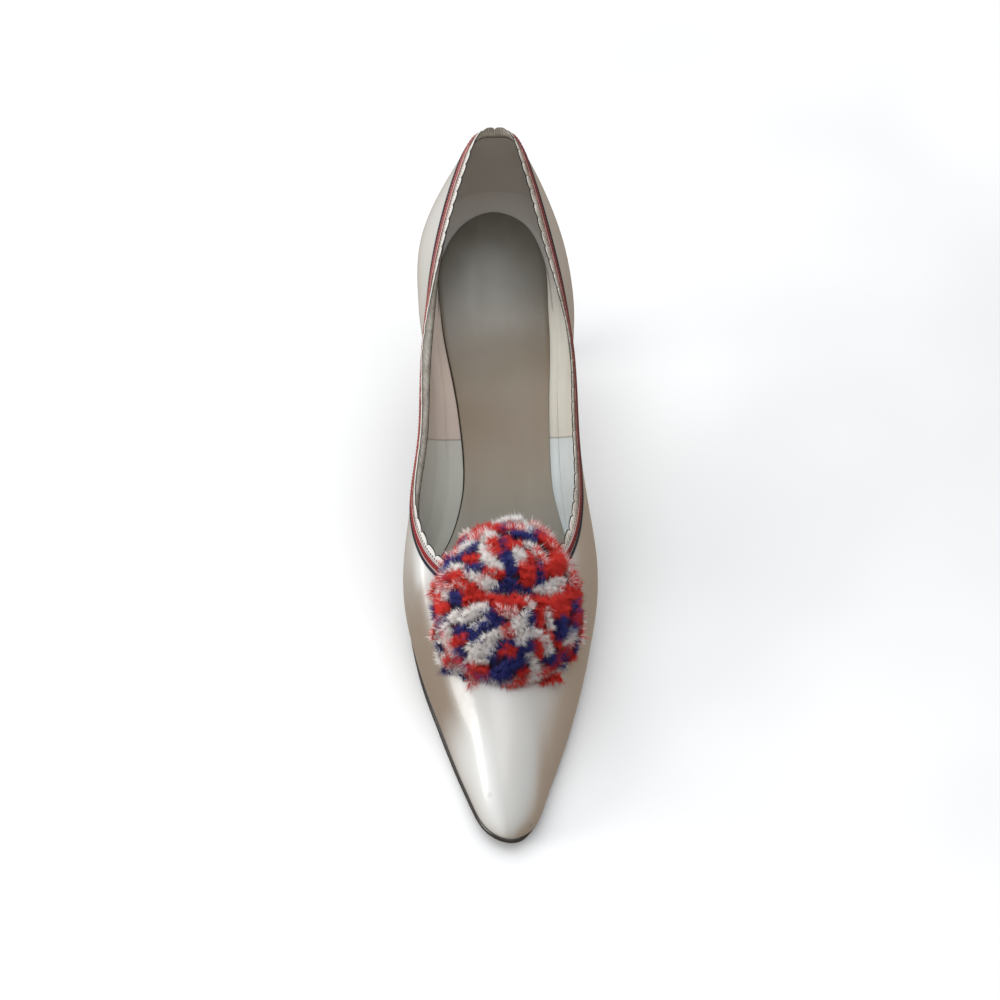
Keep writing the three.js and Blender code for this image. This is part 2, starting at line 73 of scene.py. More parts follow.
footLine = tableOf("along medial lateral", [  # where the upper meets the sole
    (0.004, 0.000, 0.000),
    (0.034, 0.400, 0.400),
    (0.112, 0.665, 0.625),
    (0.220, 0.692, 0.685),
    (0.340, 0.605, 0.655),
    (0.460, 0.645, 0.712),
    (0.575, 0.925, 0.890),
    (0.690, 0.852, 0.815),
    (0.800, 0.655, 0.645),
    (0.905, 0.434, 0.408),
    (0.972, 0.254, 0.240),
    (0.996, 0.000, 0.000),
])
topLine = tableOf("along medial lateral height", [  # edge of the upper
    (0.000, 0.000, 0.000, 1.030),
    (0.014, 0.210, 0.205, 1.035),
    (0.078, 0.385, 0.345, 0.968),
    (0.180, 0.600, 0.528, 0.785),
    (0.298, 0.762, 0.715, 0.665),
    (0.405, 0.812, 0.752, 0.715),
    (0.504, 0.905, 0.765, 0.850),
    (0.570, 0.800, 0.655, 0.910),
    (0.612, 0.565, 0.420, 0.925),
    (0.633, 0.333, 0.225, 0.925),
    (0.641, 0.190, 0.085, 0.925),
    (0.643, 0.058, -0.058, 0.925),
])
lowFullness = tableOf("forward medial lateral rise", [  # handle over the foot line
    (-0.075, 0.000, 0.000, 0.330),
    (-0.080, 0.115, 0.115, 0.330),
    (-0.025, 0.235, 0.165, 0.315),
    (0.000, 0.200, 0.190, 0.275),
    (0.000, 0.135, 0.110, 0.255),
    (0.000, 0.140, 0.140, 0.290),
    (0.015, 0.175, 0.185, 0.320),
    (0.025, 0.115, 0.120, 0.330),
    (0.025, 0.060, 0.060, 0.300),
    (0.025, 0.038, 0.038, 0.300),
    (0.040, 0.020, 0.020, 0.290),
    (0.050, 0.000, 0.000, 0.285),
])
highFullness = tableOf("forward medial lateral drop", [  # handle under the edge
    (-0.050, 0.000, 0.000, 0.330),
    (-0.060, 0.125, 0.125, 0.330),
    (0.000, 0.255, 0.205, 0.350),
    (0.050, 0.150, 0.190, 0.275),
    (0.050, -0.050, 0.040, 0.255),
    (0.080, -0.005, 0.080, 0.315),
    (0.160, 0.055, 0.140, 0.350),
    (0.360, 0.130, 0.160, 0.270),
    (0.580, 0.150, 0.160, 0.290),
    (0.820, 0.090, 0.100, 0.345),
    (0.990, 0.045, 0.055, 0.375),
    (1.080, 0.000, 0.000, 0.385),
])
footbedLine = tableOf("along rise", [  # top of the sole, a share of the heel's lift
    (0.00, 1.000), (0.10, 0.963), (0.20, 0.893), (0.30, 0.727), (0.40, 0.475),
    (0.49, 0.248), (0.56, 0.110), (0.62, 0.036), (0.68, 0.000), (0.80, 0.000),
])


def fromTable(table, name, along):
    xs, ys = table[next(iter(table))], table[name]
    end = len(xs) - 1
    if along <= xs[0]:
        return ys[0]
    if along >= xs[end]:
        return ys[end]
    i = 0
    while along > xs[i + 1]:
        i += 1

    def secant(k):
        return (ys[k + 1] - ys[k]) / (xs[k + 1] - xs[k])

    def slope(k):
        if k == 0:
            return secant(0)
        if k == end:
            return 0
        before, after = secant(k - 1), secant(k)
        return 0 if before * after <= 0 else 2 * before * after / (before + after)

    span = xs[i + 1] - xs[i]
    t = (along - xs[i]) / span
    value = (1 + 2 * t) * (1 - t) ** 2 * ys[i] + t * t * (3 - 2 * t) * ys[i + 1]
    return value + t * (1 - t) * span * ((1 - t) * slope(i) - t * slope(i + 1))


def footbed(u):
    along = u / last["footLength"]
    springStart = footbedLine["along"][-1]
    lift = (last["heelHeight"] - last["soleThickness"]) * fromTable(footbedLine, "rise", along)
    spring = max(0, (along - springStart) / (1 - springStart))
    return last["soleThickness"] + lift + last["toeSpring"] * spring**2


def overFootbed(u, thickness):
    slope = footbed(u + 0.5) - footbed(u - 0.5)
    return footbed(u) + thickness * math.hypot(1, slope)


# The stations close into a ring: 0 back, 11 toe, outer side first
toeStation = len(footLine["along"]) - 1
ringStations = 2 * toeStation


def ringOf(table, name=None):
    values = []
    for i in range(ringStations):
        row = i if i <= toeStation else ringStations - i
        side = ("lateral", 1) if i <= toeStation else ("medial", -1)
        values.append(table[name][row] if name else side[1] * table[side[0]][row])
    return values


ring = {
    "footU": ringOf(footLine, "along"), "footX": ringOf(footLine),
    "topU": ringOf(topLine, "along"), "topX": ringOf(topLine), "topHeight": ringOf(topLine, "height"),
    "lowForward": ringOf(lowFullness, "forward"), "lowX": ringOf(lowFullness),
    "lowRise": ringOf(lowFullness, "rise"),
    "highForward": ringOf(highFullness, "forward"), "highX": ringOf(highFullness),
    "highDrop": ringOf(highFullness, "drop"),
}


def around(name, c):
    values = ring[name]
    i = math.floor(c)
    t = c - i
    a, b, d, e = (values[(i + k) % ringStations] for k in (-1, 0, 1, 2))
    return b + 0.5 * t * (d - a + t * (2 * a - 5 * b + 4 * d - e + t * (3 * (b - d) + e - a)))


def footPlan(c, margin):
    step = 0.02
    half, length = last["halfBall"], last["footLength"]

    def at(k):
        return Vector((half * around("footX", k), length * around("footU", k)))

    along = (at(c + step) - at(c - step)).normalized()
    return at(c) + Vector((along.y, -along.x)) * margin


@functools.lru_cache(maxsize=None)
def handles(c):
    half, length, tall = last["halfBall"], last["footLength"], last["counterHeight"]
    footU, topU = length * around("footU", c), length * around("topU", c)
    foot = Vector((half * around("footX", c), -footU, footbed(footU) + last["clearance"]))
    top = Vector((half * around("topX", c), -topU, footbed(topU) + tall * around("topHeight", c)))
    low = Vector((half * around("lowX", c), -half * around("lowForward", c), tall * around("lowRise", c)))
    high = Vector((half * around("highX", c), -half * around("highForward", c),
                   -tall * around("highDrop", c)))
    return foot, foot + low, top + high, top


def skin(c, w):
    foot, low, high, top = handles(c)
    v = 1 - w
    return foot * v**3 + low * (3 * v * v * w) + high * (3 * v * w * w) + top * w**3


def skinNormal(c, w):
    step = 0.01
    across = skin(c + step, w) - skin(c - step, w)
    upward = skin(c, w + step) - skin(c, w - step)
    return -across.cross(upward).normalized()


def skinOffset(c, w, distance):
    return skin(c, w) + skinNormal(c, w) * distance


@functools.lru_cache(maxsize=None)
def belowEdge(c, distance):
    steps, probe, w = 12, 0.002, 1
    high, top = handles(c)[2:]
    for _ in range(steps):
        speed = (skin(c, w) - skin(c, w - probe)).length / probe
        w -= distance / steps / max(speed, (top - high).length / 2)
    return w


def overEdge(c, rise, distance):
    high, top = handles(c)[2:]
    return top + (top - high).normalized() * rise + skinNormal(c, 1) * distance


def edgeLengths(samples):
    # Distance along the upper's edge at evenly spaced stations
    lengths = [0.0]
    for k in range(samples):
        step = skin((k + 1) * ringStations / samples, 1) - skin(k * ringStations / samples, 1)
        lengths.append(lengths[-1] + step.length)
    return lengths


edgeTable = edgeLengths(880)
edgeLength = edgeTable[-1]


def stationAt(share):
    # Station at a share of the edge's length, and back again with lengthAt
    return float(np.interp(share * edgeLength, edgeTable, np.linspace(0, ringStations, len(edgeTable))))


def lengthAt(c):
    return float(np.interp(c, np.linspace(0, ringStations, len(edgeTable)), edgeTable))


def eased(value, low, high):
    # Smooth step from 0 at low to 1 at high, for a number or an array
    share = np.clip((value - low) / (high - low), 0, 1)
    return share * share * (3 - 2 * share)


def toFrame(p):
    return Vector((p.x + tipAside, p.y + tipBack, p.z)) * mm


print("last ready")


# Building helpers
def linkMesh(name, mesh, materials):
    for made in materials:
        mesh.materials.append(made)
    mesh.shade_smooth()
    piece = bpy.data.objects.new(name, mesh)
    bpy.context.scene.collection.objects.link(piece)
    return piece


def finishMesh(bm, name, materials):
    mesh = bpy.data.meshes.new(name)
    bm.to_mesh(mesh)
    bm.free()
    return linkMesh(name, mesh, materials)


def carriedGrid(across, along, place, uvOf=None, fill=False, materialOf=None):
    # A flat grid whose points are carried to their places on the shoe, welded where they meet
    bm = bmesh.new()
    uvLayer = bm.loops.layers.uv.new("UVMap")
    bmesh.ops.create_grid(bm, x_segments=across, y_segments=along, size=1)

    def shares(spot):
        return (spot.x + 1) / 2, (spot.y + 1) / 2

    for face in bm.faces:
        if materialOf:
            face.material_index = materialOf(*shares(face.calc_center_median()))
        for corner in face.loops:
            s, t = shares(corner.vert.co)
            corner[uvLayer].uv = uvOf(s, t) if uvOf else (s, t)
    for vert in bm.verts:
        vert.co = toFrame(place(*shares(vert.co)))
    bmesh.ops.remove_doubles(bm, verts=bm.verts, dist=0.002 * mm)
    if fill:
        rims = [edge for edge in bm.edges if edge.is_boundary]
        bmesh.ops.holes_fill(bm, edges=rims, sides=0)
    bmesh.ops.recalc_face_normals(bm, faces=bm.faces)
    return bm


def rowPlacer(rows):
    # Turns row functions of the station into a place function for a grid along the section
    return lambda s, t: rows[round(t * (len(rows) - 1))](s * ringStations)


def meshFromArrays(name, points, triangles, materials):
    mesh = bpy.data.meshes.new(name)
    mesh.vertices.add(len(points))
    mesh.vertices.foreach_set("co", points.astype(np.float32).ravel())
    mesh.loops.add(triangles.size)
    mesh.loops.foreach_set("vertex_index", triangles.astype(np.int32).ravel())
    mesh.polygons.add(len(triangles))
    mesh.polygons.foreach_set("loop_start", np.arange(0, triangles.size, 3, dtype=np.int32))
    mesh.update(calc_edges=True)
    return linkMesh(name, mesh, materials)


def settle(piece, slot, *nodes):
    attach(piece, "root")
    if nodes:
        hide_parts(*nodes)
    return piece


# Material helpers
def newMaterial(name, color, roughness, sockets=None):
    made = bpy.data.materials.new(name)
    made.use_nodes = True
    shader = made.node_tree.nodes["Principled BSDF"]
    shader.inputs["Base Color"].default_value = (*color, 1)
    shader.inputs["Roughness"].default_value = roughness
    for socket, value in (sockets or {}).items():
        shader.inputs[socket].default_value = value
    return made, shader


def addNode(made, kind, inputs=None, **settings):
    node = made.node_tree.nodes.new("ShaderNode" + kind)
    for key, value in settings.items():
        setattr(node, key, value)
    for key, value in (inputs or {}).items():
        if isinstance(value, bpy.types.NodeSocket):
            made.node_tree.links.new(value, node.inputs[key])
        else:
            node.inputs[key].default_value = value
    return node


def objectPlace(made):
    return addNode(made, "TexCoord").outputs["Object"]


def uvParts(made):
    uv = addNode(made, "UVMap", uv_map="UVMap").outputs["UV"]
    return addNode(made, "SeparateXYZ", {0: uv}).outputs


def noiseOf(made, place, scale, detail=3, roughness=0.5):
    settings = {"Vector": place, "Scale": scale, "Detail": detail, "Roughness": roughness}
    return addNode(made, "TexNoise", settings).outputs["Fac"]


def stretched(made, place, scale):
    return addNode(made, "Mapping", {"Vector": place, "Scale": scale}).outputs["Vector"]


def rangeOf(made, value, low, high, toLow=0.0, toHigh=1.0):
    settings = {"Value": value, "From Min": low, "From Max": high, "To Min": toLow, "To Max": toHigh}
    return addNode(made, "MapRange", settings, interpolation_type="SMOOTHSTEP").outputs["Result"]


def mathOf(made, operation, a, b=0.0):
    return addNode(made, "Math", {0: a, 1: b}, operation=operation).outputs[0]


def bandOf(made, value, low, high, soft):
    # 1 between low and high, fading out over the soft range on both sides of each
    return mathOf(made, "MULTIPLY", rangeOf(made, value, low - soft, low + soft),
                  rangeOf(made, value, high + soft, high - soft))


def mixOf(made, share, first, second):
    node = addNode(made, "Mix", data_type="RGBA", blend_type="MIX")
    for socket, value in ((node.inputs[0], share), (node.inputs[6], first), (node.inputs[7], second)):
        if isinstance(value, bpy.types.NodeSocket):
            made.node_tree.links.new(value, socket)
        else:
            socket.default_value = (*value, 1) if isinstance(value, tuple) else value
    return node.outputs[2]


def spotOf(made, place, centre, radius):
    # 1 at a marked place of the piece, fading out to its radius in millimetres
    apart = addNode(made, "VectorMath", {0: place, 1: Vector(centre) * mm}, operation="DISTANCE")
    return rangeOf(made, apart.outputs["Value"], radius * mm, 0.4 * radius * mm)


def bumpOf(made, height, distance, strength=1.0, normal=None):
    settings = {"Height": height, "Distance": distance, "Strength": strength}
    if normal:
        settings["Normal"] = normal
    return addNode(made, "Bump", settings).outputs["Normal"]


def plug(made, value, shader, socket):
    made.node_tree.links.new(value, shader.inputs[socket])


# The camera stands where the photographer stood
camera = {
    "aim": (0.0, -102.3, 45.0),
    "distance": 800,
    "elevation": 60,
    "azimuth": -3.75,
    "roll": 1.9,
    "focalPixels": 2030,
    "framePixels": 1000,
    "aimPixel": (501.9, 518.4),
    "sensor": 36,
}


def cameraFrame():
    elevation, azimuth = math.radians(camera["elevation"]), math.radians(camera["azimuth"])
    back = Vector((math.sin(azimuth) * math.cos(elevation), -math.cos(azimuth) * math.cos(elevation),
                   math.sin(elevation)))
    place = (Vector(camera["aim"]) + back * camera["distance"]) * mm
    turn = (-back).to_track_quat("-Z", "Y").to_matrix().to_4x4()
    return Matrix.Translation(place) @ turn @ Matrix.Rotation(math.radians(camera["roll"]), 4, "Z")


def onPicture(spot):
    # Where a place of the frame shows in the camera's picture
    local = cameraFrame().inverted() @ spot
    scale = camera["focalPixels"] / -local.z
    return camera["aimPixel"][0] + scale * local.x, camera["aimPixel"][1] - scale * local.y


# Leather of the upper and the heel
leather = {
    "color": (0.560, 0.555, 0.535),
    "warmTone": (0.470, 0.390, 0.300),
    "innerFlankPaintedShade": (0.290, 0.232, 0.182),
    "outerFlankPaintedShade": (0.440, 0.360, 0.285),
    "windowPaintedHighlight": (0.760, 0.775, 0.765),
    "speck": (0.42, 0.38, 0.32),
    "scuff": (0.22, 0.21, 0.19),
    "scuffAt": (6.6, -218.6, 12.7),
    "scuffRadius": 2.2,
    "mark": (0.40, 0.37, 0.32),
    "markAt": (-8.0, -208.5, 19.8),
    "markRadius": 1.4,
    "wrinklesAt": (-16.5, -174.5, 29.0),
    "wrinklesRadius": 9,
    "roughness": 0.34,
    "coat": 0.6,
    "coatRoughness": 0.17,
    "wall": 0.5,
    "rim": (0.20, 0.045, 0.035),
    "rimWorn": (0.42, 0.16, 0.12),
    "ribbonBand": 4.5,
    "columns": 440,
    "outerRows": 46,
    "bandRows": 8,
    "innerRows": 10,
    "edgeRounds": 6,
    "footRows": [(1.3, 0.12), (0.715, 0.10), (0.25, 0.13)],
    "innerFoot": (1.3, 0.5),
}
# Ranges over which the painted shade and painted highlight on the sides fade in, of the surface's slope or in
# mm from the back
flanks = {
    "steep": (0.86, 0.50),
    "sideways": (0.0, 0.5),
    "innerStart": (112, 142),
    "innerEnd": (196, 170),
    "outerBack": 0.55,
    "outerStart": (60, 120),
    "toe": (172, 200),
    "throat": 0.8,
    "throatStart": (104, 116),
    "throatEnd": (134, 126),
    "throatSlope": (0.3, 0.6),
    "counter": 0.6,
    "counterEnd": (80, 40),
    "windowSlope": (0.1, 0.5),
}


def pearlLeather():
    made, shader = newMaterial("pearlLeather", leather["color"], leather["roughness"], {
        "Coat Weight": leather["coat"],
        "Coat Roughness": leather["coatRoughness"],
        "Specular IOR Level": 0.5,
    })
    place = objectPlace(made)
    cloud = noiseOf(made, place, 26, 4, 0.55)
    # Warmer and darker towards the foot, and in random clouds
    low = rangeOf(made, uvParts(made)["Y"], 0.30, 0.0)
    warmTone = mathOf(made, "MULTIPLY", low, rangeOf(made, cloud, 0.3, 0.75, 0.55, 0.95))
    soft = mixOf(made, rangeOf(made, cloud, 0.35, 0.7, 0, 0.10), leather["color"], leather["warmTone"])
    color = mixOf(made, mathOf(made, "MULTIPLY", warmTone, 0.14), soft, leather["warmTone"])
    # Painted shade and reflection darken both flanks; a painted window highlight brightens the inner side of
    # the toe, throat and counter
    for side in ("innerFlankPaintedShade", "outerFlankPaintedShade", "windowPaintedHighlight"):
        share = addNode(made, "Attribute", attribute_name=side).outputs["Fac"]
        share = mathOf(made, "MULTIPLY", share, rangeOf(made, cloud, 0.2, 0.6, 0.8, 1.0))
        color = mixOf(made, share, color, leather[side])
    speck = rangeOf(made, noiseOf(made, place, 900, 2, 0.6), 0.73, 0.80, 0, 0.22)
    color = mixOf(made, speck, color, leather["speck"])
    scuff = mathOf(made, "MULTIPLY", spotOf(made, place, leather["scuffAt"], leather["scuffRadius"]),
                   rangeOf(made, noiseOf(made, place, 700, 3), 0.42, 0.58, 0, 0.55))
    color = mixOf(made, scuff, color, leather["scuff"])
    mark = spotOf(made, place, leather["markAt"], leather["markRadius"])
    color = mixOf(made, mathOf(made, "MULTIPLY", mark, 0.25), color, leather["mark"])
    plug(made, color, shader, "Base Color")
    pores = addNode(made, "TexVoronoi", {"Vector": place, "Scale": 1500}).outputs["Distance"]
    wrinkle = noiseOf(made, place, 420, 4, 0.6)
    grain = bumpOf(made, pores, 0.00002, 0.35)
    grain = bumpOf(made, wrinkle, 0.00006, 0.30, grain)
    grain = bumpOf(made, noiseOf(made, place, 60, 2), 0.0002, 0.25, grain)
    crease = noiseOf(made, stretched(made, place, (1.0, 3.0, 1.0)), 170, 3, 0.6)
    crease = mathOf(made, "MULTIPLY", crease,
                    spotOf(made, place, leather["wrinklesAt"], leather["wrinklesRadius"]))
    grain = bumpOf(made, crease, 0.0005, 0.5, grain)
    plug(made, grain, shader, "Normal")
    plug(made, rangeOf(made, wrinkle, 0.3, 0.7, 0.29, 0.41), shader, "Roughness")
    return made


def rimPaint():
    made, shader = newMaterial("rimPaint", leather["rim"], 0.6)
    cloud = noiseOf(made, objectPlace(made), 500, 3)
    tone = mixOf(made, rangeOf(made, cloud, 0.4, 0.65), leather["rim"], leather["rimWorn"])
    plug(made, tone, shader, "Base Color")
    return made


pearl = pearlLeather()


def wallPoint(c, height, distance):
    # height runs from 0 at the foot to 1 under the ribbons and 2 at the edge
    band = leather["ribbonBand"]
    w = belowEdge(c, band) * height if height <= 1 else belowEdge(c, band * (2 - height))
    return skinOffset(c, w, distance)


def footTuck(c, inward, rise):
    plan = footPlan(c, -inward)
    return Vector((plan.x, -plan.y, footbed(plan.y) + rise))


def markFlanks(piece):
    # Painted shade and reflection where the leather is warm and darker low on both sides, and a painted
    # highlight where it catches the window
    mesh = piece.data
    onward = -np.array([vertex.co.y for vertex in mesh.vertices]) / mm
    normals = np.array([vertex.normal for vertex in mesh.vertices])

    def along(name):
        return eased(onward, *flanks[name])

    steep = eased(normals[:, 2], *flanks["steep"])
    inner = steep * eased(-normals[:, 0], *flanks["sideways"]) * along("innerStart") * along("innerEnd")
    outer = steep * eased(normals[:, 0], *flanks["sideways"])
    outer *= flanks["outerBack"] + (1 - flanks["outerBack"]) * along("outerStart")
    throat = flanks["throat"] * along("throatStart") * along("throatEnd")
    throat *= eased(normals[:, 2], *flanks["throatSlope"])
    counter = flanks["counter"] * along("counterEnd")
    window = np.maximum(np.maximum(along("toe"), throat), counter)
    window *= eased(-normals[:, 0], *flanks["windowSlope"])
    marks = {"innerFlankPaintedShade": inner * (1 - throat), "outerFlankPaintedShade": outer, "windowPaintedHighlight": window}
    for name, values in marks.items():
        mark = mesh.attributes.new(name, "FLOAT", "POINT")
        mark.data.foreach_set("value", values.astype(np.float32))


def makeUpper():
    wall, rounds, steps = leather["wall"], leather["edgeRounds"], leather["innerRows"]
    rows = [lambda c, i=inward, r=rise: footTuck(c, i, r) for inward, rise in leather["footRows"]]
    footRows = len(rows)
    heights = [k / leather["outerRows"] for k in range(leather["outerRows"] + 1)]
    heights += [1 + k / leather["bandRows"] for k in range(1, leather["bandRows"] + 1)]
    rows += [lambda c, h=height: wallPoint(c, h, 0) for height in heights]
    rimStart = len(rows)
    for k in range(1, rounds):
        angle = math.pi * k / rounds
        rows.append(lambda c, a=angle: overEdge(c, wall / 2 * math.sin(a), wall / 2 * (math.cos(a) - 1)))
    for k in range(steps, -1, -1):
        rows.append(lambda c, h=2 * k / steps: wallPoint(c, max(h, 0.03), -wall))
    rows.append(lambda c: footTuck(c, *leather["innerFoot"]))
    rows.append(rows[0])
    end = len(rows) - 1
    heightOf = [0] * footRows + heights + [2] * (len(rows) - rimStart)
    bm = carriedGrid(leather["columns"], end, rowPlacer(rows),
                     lambda s, t: (lengthAt(s * ringStations) * mm, heightOf[round(t * end)]),
                     materialOf=lambda s, t: 1 if rimStart < t * end < rimStart + rounds - 2 else 0)
    piece = finishMesh(bm, "upper_leather", [pearl, rimPaint()])
    markFlanks(piece)
    return settle(piece, "pearl_leather", "upper")


upper = makeUpper()
print("upper ready")

# The scalloped strip's sizes come first, since the lining starts under its lap
edging = {
    "pitch": 5.6,
    "columnsPerScallop": 16,
    "outerFace": -0.6,
    "innerFace": -1.1,
    "lap": 3.0,
    "valley": 1.6,
    "height": 1.7,
    "backingRise": 0.4,
    "backingOuter": -1.15,
    "backingInner": -1.35,
    "pinPitch": 1.2,
    "pinRadius": 0.4,
    "pinRise": 1.0,
    "wornRise": 0.9,
    "innerRoll": 1.8,
    "rollStations": (14.2, 15.4, 19.4, 20.6),
    "wornStations": (0.6, 1.6, 6.0, 7.5),
    "lobe": (2.6, 0.6),
    "innerStart": 8,
}
scallops = round(edgeLength / edging["pitch"])


def between(c, stations):
    # 1 from the second to the third station, eased from the first and to the fourth
    first, second, third, fourth = stations
    return eased(c, first, second) * eased(c, fourth, third)


def scallopRise(s):
    share, (sharp, full) = (s * scallops) % 1, edging["lobe"]
    lobe = max(0.0, 1 - abs(2 * share - 1) ** sharp) ** full
    worn = edging["wornRise"] * between(stationAt(s), edging["wornStations"])
    return edging["valley"] + worn + edging["height"] * lobe


def innerRoll(c):
    # The strip's lap and the lining's edge stand off the wall along the inner waist
    return edging["innerRoll"] * between(c, edging["rollStations"])


# Lining: a thin inner shell, taupe in the quarters and pale in the vamp, with painted light paling the outer
# side
lining = {
    "quarter": (0.64, 0.53, 0.46),
    "outerQuarterPaintedLight": (0.78, 0.76, 0.68),
    "counter": (0.48, 0.455, 0.42),
    "outerVampPaintedLight": (0.79, 0.84, 0.84),
    "innerVamp": (0.56, 0.55, 0.49),
    "counterWorn": (0.55, 0.51, 0.46),
    "vampWorn": (0.60, 0.62, 0.58),
    "seam": (0.16, 0.14, 0.12),
    "shadowLine": (0.05, 0.036, 0.028),
    "outerStations": (1.8, 11, 0.8),
    "counterStations": ((3.2, 1.6), (18.8, 20.4)),
    "outerFace": -1.15,
    "innerFace": -1.5,
    "topGap": 2.9,
    "rows": 36,
    "outerRows": 4,
    "nearEdge": 0.9,
    "turn": 0.12,
    "turnRows": 8,
    "turnIn": 4.5,
    "turnRise": 2.62,
    "seamPlace": -34.4,
    "seamSlope": (0.866, 0.5),
}


def liningLeather():
    made, shader = newMaterial("liningLeather", lining["quarter"], 0.5, {"Specular IOR Level": 0.4})
    place, station = objectPlace(made), uvParts(made)["X"]
    mottle = rangeOf(made, noiseOf(made, place, 45, 4, 0.6), 0.3, 0.7, 0, 0.3)
    # Painted light: the outer side's inner wall, which faces the lamps, is paler
    paintedLightSide = bandOf(made, station, *lining["outerStations"])
    inner = mixOf(made, mottle, lining["quarter"], lining["counter"])
    outer = mixOf(made, mottle, lining["outerQuarterPaintedLight"], lining["quarter"])
    color = mixOf(made, paintedLightSide, inner, outer)
    back = mathOf(made, "MAXIMUM", *(rangeOf(made, station, *ends) for ends in lining["counterStations"]))
    color = mixOf(made, back, color, mixOf(made, mottle, lining["counter"], lining["counterWorn"]))
    vamp = mixOf(made, paintedLightSide, lining["innerVamp"], lining["outerVampPaintedLight"])
    vamp = mixOf(made, mottle, vamp, lining["vampWorn"])
    parts = addNode(made, "SeparateXYZ", {0: place}).outputs
    onward = mathOf(made, "ADD", *(mathOf(made, "MULTIPLY", parts[axis], slope)
                                   for axis, slope in zip("YZ", lining["seamSlope"])))
    seam = mathOf(made, "SUBTRACT", onward, lining["seamPlace"] * mm)
    color = mixOf(made, rangeOf(made, seam, 0.1 * mm, -0.1 * mm), color, vamp)
    line = rangeOf(made, mathOf(made, "ABSOLUTE", seam), 0.45 * mm, 0.25 * mm, 0, 0.45)
    plug(made, mixOf(made, line, color, lining["seam"]), shader, "Base Color")
    grain = bumpOf(made, noiseOf(made, place, 1200, 3, 0.6), 0.00004, 0.4)
    plug(made, grain, shader, "Normal")
    return made


liningSkin = liningLeather()


def makeLining():
    topHeight = 2 - lining["topGap"] / leather["ribbonBand"]
    under = lining["turnRise"] - 0.08

    def turned(c, share):
        # Foot of the lining, rounded inwards over the insole
        start = wallPoint(c, lining["turn"], lining["innerFace"])
        corner = footTuck(c, 1.4, lining["turnRise"])
        end = footTuck(c, lining["turnIn"], lining["turnRise"])
        return start * (1 - share) ** 2 + corner * (2 * share * (1 - share)) + end * share**2

    rows = []
    for k in range(lining["rows"]):
        height = topHeight * (1 - k / lining["rows"])
        if height > lining["turn"] + 0.01:
            near = eased(height, topHeight - lining["nearEdge"], topHeight)
            rows.append(lambda c, h=height, n=near: wallPoint(c, h, lining["innerFace"] - n * innerRoll(c)))
    for k in range(lining["turnRows"] + 1):
        rows.append(lambda c, share=k / lining["turnRows"]: turned(c, share))
    rows += [lambda c: footTuck(c, lining["turnIn"] - 0.2, under), lambda c: footTuck(c, 2.1, under)]
    for k in range(lining["outerRows"] - 1, -1, -1):
        height = max(topHeight * (1 - k / lining["outerRows"]), 0.1)
        rows.append(lambda c, h=height: wallPoint(c, h, lining["outerFace"]))
    rows.append(rows[0])
    end = len(rows) - 1
    # The rows at the lining's top edge are near black: a painted shadow of the strip over them
    shadowLine = newMaterial("liningShadowLine", lining["shadowLine"], 0.9)[0]
    bm = carriedGrid(leather["columns"], end, rowPlacer(rows), lambda s, t: (s * ringStations, t),
                     materialOf=lambda s, t: 0 if 1.2 < t * end < end - 1.2 else 1)
    return settle(finishMesh(bm, "lining", [liningSkin, shadowLine]), "lining_leather")


makeLining()
print("lining ready")

# Boards that lie across the shoe: outsole, insole and sock
board = {"stations": 200, "topColumns": 28, "sideColumns": 5, "lowColumns": 12}


def boardRows(marginAt, lower, thickness, roundness, startStation=0.0):
    # Section points as (share across, height share, extra margin)
    top, side, low = board["topColumns"], board["sideColumns"], board["lowColumns"]
    rounded = [(0.5 * math.cos(math.pi * k / side), roundness * (math.sin(math.pi * k / side) - 1))
               for k in range(1, side)]
    section = [(k / top, 1.0, -roundness) for k in range(top + 1)]
    section += [(1.0, 0.5 + rise, extra) for rise, extra in rounded]
    section += [(1 - k / low, 0.0, -roundness) for k in range(low + 1)]
    section += [(0.0, 0.5 - rise, extra) for rise, extra in rounded]
    section.append(section[0])

    def place(s, t):
        share, height, extra = section[round(s * (len(section) - 1))]
        c = startStation + (toeStation - startStation) * t
        outer, inner = (footPlan(side, marginAt(side) + extra) for side in (c, ringStations - c))
        plan = outer.lerp(inner, share)
        return Vector((plan.x, -plan.y, overFootbed(plan.y, lower + thickness * height)))

    return place, len(section) - 1


insole = {"inset": 1.9, "lower": 0.3, "thickness": 2.2, "roundness": 0.4}
sock = {
    "bevel": 0.5,
    "lower": 2.8,
    "thickness": 0.8,
    "roundness": 0.3,
    "base": (0.33, 0.31, 0.27),
    "seat": (0.100, 0.090, 0.066),
    "waist": (0.31, 0.235, 0.160),
    "ball": (0.44, 0.43, 0.38),
    "cloud": (0.40, 0.395, 0.36),
    "streak": (0.24, 0.19, 0.15),
    "seatEnd": (0.20, 0.42),
    "waistEnd": (0.36, 0.52),
}
sockMargin = tableOf("along medial lateral", [
    (0.00, 0.008, 0.008),
    (0.11, 0.040, 0.060),
    (0.20, 0.070, 0.100),
    (0.31, 0.120, 0.085),
    (0.42, 0.180, 0.095),
    (0.48, 0.130, 0.045),
    (0.53, 0.075, 0.025),
    (1.00, 0.020, 0.020),
])


def sockInset(c):
    side = "lateral" if c <= toeStation else "medial"
    margin = fromTable(sockMargin, side, around("footU", c))
    return insole["inset"] + sock["bevel"] + last["halfBall"] * margin


